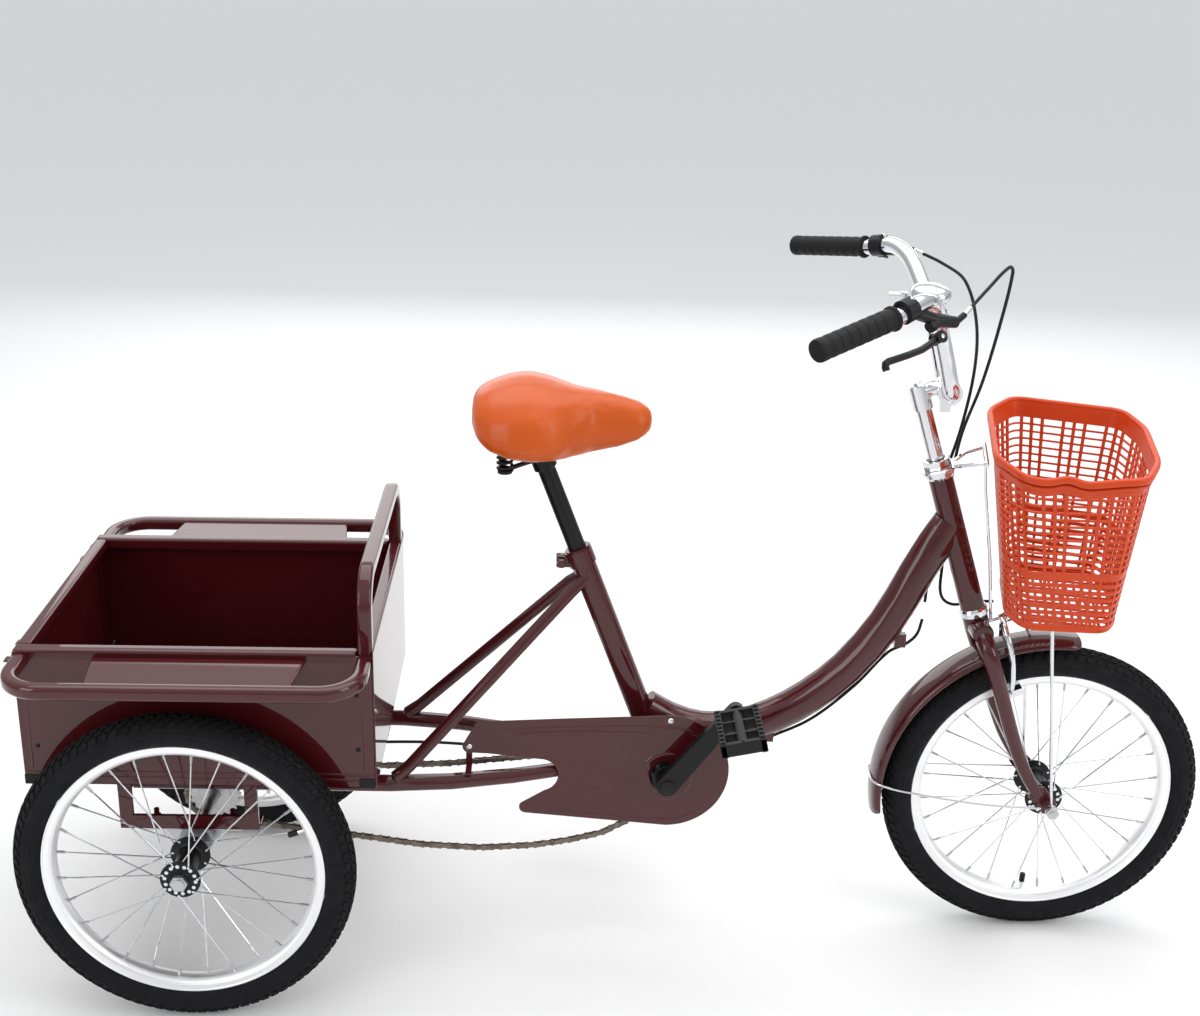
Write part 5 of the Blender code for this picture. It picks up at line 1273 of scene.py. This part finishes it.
def make_basket_floor(turn):
    """The basket's floor as a lattice of bars inside its bottom ring."""
    outline = basket_ring(BASKET_BOTTOM, 0.0020, 96)
    low_x = min(p.x for p in outline)
    high_x = max(p.x for p in outline)
    half_y = max(p.y for p in outline)

    def half_width(x):
        near = sorted(outline, key=lambda p: abs(p.x - x))[:4]
        return max(abs(p.y) for p in near)

    bars = []
    count = 13
    for i in range(1, count):
        x = low_x + (high_x - low_x) * i / count
        w = half_width(x)
        bars.append(slab((x, 0.0, 0.5416), (0.0020, w, 0.0014), 0.0008, 2))
    for i in range(-6, 7):
        y = i * half_y / 6.5
        inside = [p.x for p in outline if abs(abs(p.y) - abs(y)) < 0.004] or [low_x, high_x]
        low, high = (min(inside), y - 0.0020, 0.5404), (max(inside), y + 0.0020, 0.5428)
        bars.append(block(low, high, 0.0008, 2))
    make_piece("basket_floor", moved(merged(bars), turn), "steering", "orange_plastic")


GRIP_START, GRIP_END = placed([(0.9077, 0.1893, 0.9841), (0.8152, 0.2714, 0.9646)])
LEFT_BAR = smooth_path(placed([
    (1.0125, 0.0195, 0.8360), (1.0125, 0.0250, 0.8362), (1.0085, 0.0410, 0.8500), (0.9970, 0.0470, 0.8930),
    (0.9850, 0.0560, 0.9320), (0.9750, 0.0850, 0.9600), (0.9610, 0.1250, 0.9860), (0.9410, 0.1580, 0.9950),
    (0.9166, 0.1814, 0.9860)]), 8)


def grip_profile(length):
    """A collar, seven soft ribs and a rounded end."""
    profile = [(0.0, length + 0.0006), (0.0113, length + 0.0006), (0.0113, 0.0), (0.0150, 0.0),
               (0.0160, 0.0012), (0.0160, 0.0036), (0.0150, 0.0050), (0.0137, 0.0058)]
    ribs = 7
    first, last = 0.0120, length - 0.0120
    for i in range(ribs):
        a = first + (last - first) * i / ribs
        b = first + (last - first) * (i + 1) / ribs
        profile += [(0.0132, a), (0.0140, a + 0.0016), (0.0143, a + 0.0040), (0.0143, b - 0.0040),
                    (0.0140, b - 0.0016), (0.0132, b)]
    return profile + [(0.0132, last + 0.002), (0.0144, last + 0.0036), (0.0146, length),
                      (0.0138, length + 0.0028), (0.0110, length + 0.0040), (0.0, length + 0.0042)]


def make_bell(turn):
    """A two-tier dome on a neck and a strap."""
    base = spot(0.9640, -0.0800, 0.9800)
    up = Vector((0.10, 0.0, 1.0)).normalized()
    profile = [(0.0, 0.0), (0.0225, 0.0), (0.0240, 0.0010), (0.0246, 0.0030), (0.0246, 0.0050),
               (0.0258, 0.0060), (0.0260, 0.0072), (0.0258, 0.0100), (0.0245, 0.0132), (0.0215, 0.0162),
               (0.0170, 0.0186), (0.0130, 0.0196), (0.0125, 0.0192), (0.0080, 0.0205),
               (0.0040, 0.0209), (0.0, 0.0210)]
    foot = base - Vector((-0.0050, 0.0, 0.0120))
    parts = [lathe(profile, frame_along(base, up), 56),
             rod(foot, base + up * 0.001, 0.0060, 24),
             tube(mirrored(LEFT_BAR)[36:41], 0.0140, 32, X_AXIS)]
    make_piece("bell_fine", moved(merged(parts), turn), "stem", "chrome", ["bell"])
    refined("bell_lever", 0.0005)


def make_bars():
    """Handlebar, grips, bell and brake levers."""
    turn = steered(BAR_TURN)
    left = LEFT_BAR + [GRIP_START, GRIP_END]
    bar = tube(list(reversed(mirrored(left))) + left, 0.0111, 32, X_AXIS)
    make_piece("handlebar_fine", moved(bar, turn), "stem", "chrome", ["handlebar"])
    length = (GRIP_END - GRIP_START).length
    for name, (start, end) in (("grip_right", mirrored([GRIP_START, GRIP_END])),
                               ("grip_left", (GRIP_START, GRIP_END))):
        grip = lathe(grip_profile(length), frame_along(start, end - start), 48)
        make_piece(name + "_fine", moved(grip, turn), "stem", "rubber", [name], 50.0)
    make_bell(turn)
    for name in ("lever_body_right", "lever_body_left", "lever_right", "lever_left"):
        refined(name, 0.0008, 2, 50.0)


def make_lever_pivots():
    """The cheeks and pin that carry each brake lever, and its clamp's screw."""
    turn = steered(BAR_TURN)
    for side, name in ((-1, "right"), (1, "left")):
        joint = JOINTS["brake_lever_" + name]
        centre, axis = Vector(joint["pos_m"]), Vector(joint["axis"]).normalized()
        cheeks = []
        for way in (1, -1):
            start = centre + axis * way * 0.0062
            cheeks.append(rod(start, start + axis * way * 0.0024, 0.0080, 32, 0.0006))
        make_piece("lever_cheeks_" + name, cheeks, "stem", "black_plastic")
        pin = rod(centre - axis * 0.0098, centre + axis * 0.0098, 0.0030, 24, 0.0008)
        make_piece("lever_pin_" + name, pin, "stem", "chrome")
        mount = spot(0.9245, side * 0.1745, 0.9905)
        up = Vector((0.35, 0.0, 0.94)).normalized()
        screw = rod(mount + up * 0.0140, mount + up * 0.0172, 0.0036, 24, 0.0008)
        make_piece("lever_screw_" + name, moved(screw, turn), "stem", "chrome")


CABLE_RADIUS = 0.0022
LEVER_PIVOT = {-1: (0.9662, -0.1628, 0.9540), 1: (0.9353, 0.2069, 0.9741)}
BARREL = {-1: (0.9975, -0.1275, 0.9715), 1: (0.9675, 0.1694, 0.9858)}
FRONT_CABLE = [(1.0250, -0.0950, 0.9950), (1.0560, -0.0700, 1.0172), (1.0640, -0.0600, 1.0080),
               (1.0600, -0.0400, 0.9300), (1.0520, -0.0180, 0.8500), (1.0400, 0.0100, 0.7700),
               (1.0380, 0.0300, 0.7000), (1.0400, 0.0360, 0.6200), (1.0380, 0.0340, 0.5600),
               (1.0400, 0.0320, 0.5200), (1.0600, 0.0400, 0.5020), (1.0900, 0.0420, 0.5060),
               (1.1150, 0.0300, 0.5120)]
REAR_CABLE_UPPER = [(1.0250, 0.1350, 0.9780), (1.0500, 0.1060, 0.9600), (1.0620, 0.0740, 0.9100),
                    (1.0600, 0.0520, 0.8500), (1.0480, 0.0440, 0.7700), (1.0300, 0.0480, 0.6800),
                    (1.0280, 0.0500, 0.6100), (1.0240, 0.0480, 0.5500), (1.0200, 0.0400, 0.5050)]
REAR_CABLE_LOWER = [(1.0160, 0.0300, 0.4820), (1.0060, 0.0120, 0.4680), (0.9900, 0.0, 0.4590),
                    (0.9640, 0.0, 0.4440), (0.9200, 0.0, 0.3900), (0.8600, 0.0, 0.3350),
                    (0.8000, 0.0, 0.3035), (0.7400, 0.0, 0.2700), (0.7000, 0.0080, 0.2450),
                    (0.6400, 0.0200, 0.2420), (0.5600, 0.0200, 0.2500), (0.4400, 0.0260, 0.2640),
                    (0.3000, 0.0340, 0.2700), (0.1500, 0.0400, 0.2600), (0.0660, 0.0400, 0.2470)]
UPPER_SPLIT = 0.7300


def adjuster_end(side):
    pivot, barrel = placed([LEVER_PIVOT[side], BARREL[side]])
    return steered(BAR_TURN) @ (barrel + (barrel - pivot).normalized() * 0.0085)


def make_cables():
    """Black housings with bright ferrules; the upper rear one is split where it first drops below UPPER_SPLIT."""
    def housing(name, path, body=None, replaces=()):
        return make_piece(name, tube(path, CABLE_RADIUS, 14), body, "black_plastic", replaces)

    front = smooth_path([adjuster_end(-1)] + placed(FRONT_CABLE), 8)
    upper = smooth_path([adjuster_end(1)] + placed(REAR_CABLE_UPPER), 8)
    lower = smooth_path(placed(REAR_CABLE_LOWER), 8)
    piece = housing("front_cable", front, None, ["front_brake_cable"])
    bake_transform(piece)
    split = next(i for i, p in enumerate(upper) if p.z < UPPER_SPLIT)
    high = housing("rear_cable_high", upper[:split + 1], None, ["rear_brake_cable_upper"])
    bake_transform(high)
    middle = housing("rear_cable_middle", upper[split:])
    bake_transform(middle)
    housing("rear_cable_low", lower, "root", ["rear_brake_cable_lower"])
    for name, path in (("front_cable_ferrule", front), ("rear_cable_ferrule", upper)):
        heading = (path[3] - path[0]).normalized()
        start = path[0] - heading * 0.0010
        make_piece(name, rod(start, start + heading * 0.0140, 0.0030, 20, 0.0006), "stem", "chrome")


# ---- the parts kept from the frame ------------------------------------------------------------
def refine_frame():
    refined("main_frame", 0.0016, 2, 40.0)
    for node in ("axle_carrier", "axle_bearing_right", "axle_bearing_left", "band_brake", "rear_axle",
                 "front_axle", "basket_bracket", "basket_stay_right", "basket_stay_left",
                 "brake_arm_right", "brake_arm_left", "headset_locknut", "headset_upper_cup",
                 "headset_lower_cup"):
        refined(node, 0.0006, 2, 45.0)
    refined("stem", 0.0009, 2, 45.0)


# ---- stage, light and camera ------------------------------------------------------------------
def make_stage():
    mesh = bpy.data.meshes.new("floor")
    far = 45.0
    corners = [(-far, -far, 0), (far, -far, 0), (far, far, 0), (-far, far, 0)]
    mesh.from_pydata(corners, [], [(0, 1, 2, 3)])
    mesh.materials.append(principled("pale_floor", (0.80, 0.80, 0.80), 0.55))
    floor = bpy.data.objects.new("floor", mesh)
    bpy.context.scene.collection.objects.link(floor)
    make_world()
    make_lamps()
    bpy.context.scene.view_settings.view_transform = "Standard"


def make_world():
    """A soft sky that is grey at the horizon and pale above."""
    studio = bpy.data.worlds.new("studio")
    studio.use_nodes = True
    tree = studio.node_tree
    background = tree.nodes["Background"]
    direction = tree.nodes.new("ShaderNodeTexCoord")
    height = tree.nodes.new("ShaderNodeSeparateXYZ")
    ramp = colour_ramp(tree, (0.0, (0.42, 0.42, 0.43)), (0.75, (0.90, 0.91, 0.92)))
    tree.links.new(direction.outputs["Generated"], height.inputs["Vector"])
    tree.links.new(height.outputs["Z"], ramp.inputs["Fac"])
    tree.links.new(ramp.outputs["Color"], background.inputs["Color"])
    background.inputs["Strength"].default_value = 1.0
    bpy.context.scene.world = studio


def make_lamps():
    lamps = [("overhead", (0.1, 0.5, 3.0), (4.0, 2.6), 62.0),
             ("left", (-2.6, -2.4, 1.7), (1.6, 2.0), 30.0),
             ("right", (3.0, -1.7, 1.9), (1.4, 2.2), 34.0),
             ("back", (0.2, 3.6, 1.6), (4.5, 1.6), 36.0)]
    for name, place, size, power in lamps:
        light = bpy.data.lights.new(name, "AREA")
        light.shape = "RECTANGLE"
        light.size, light.size_y = size
        light.energy = power
        lamp = bpy.data.objects.new(name, light)
        lamp.location = place
        aim = Vector((0.0, 0.0, 0.45)) - Vector(place)
        lamp.rotation_euler = aim.to_track_quat("-Z", "Y").to_euler()
        bpy.context.scene.collection.objects.link(lamp)


def make_camera():
    data = bpy.data.cameras.new("camera")
    data.sensor_width = 36.0
    data.lens = 46.05
    data.shift_x = 0.0450
    data.shift_y = -0.0449
    camera = bpy.data.objects.new("camera", data)
    bpy.context.scene.collection.objects.link(camera)
    yaw, pitch, roll = radians(90.338), radians(-18.979), radians(0.591)
    forward = Vector((cos(pitch) * cos(yaw), cos(pitch) * sin(yaw), sin(pitch)))
    turn = forward.to_track_quat("-Z", "Y").to_matrix().to_4x4() @ Matrix.Rotation(roll, 4, "Z")
    camera.matrix_world = Matrix.Translation((-0.11565, -1.9831, 1.4185)) @ turn
    bpy.context.scene.camera = camera


make_camera()
make_stage()
make_wheels()
make_chain()
make_sprockets()
make_chain_guard()
make_cranks()
make_saddle()
make_saddle_frame()
make_box()
make_tailgate()
make_side_guard(-1, "side_guard_right")
make_side_guard(1, "side_guard_left")
make_fork()
make_front_fender()
make_basket()
make_bars()
make_lever_pivots()
make_cables()
refine_frame()
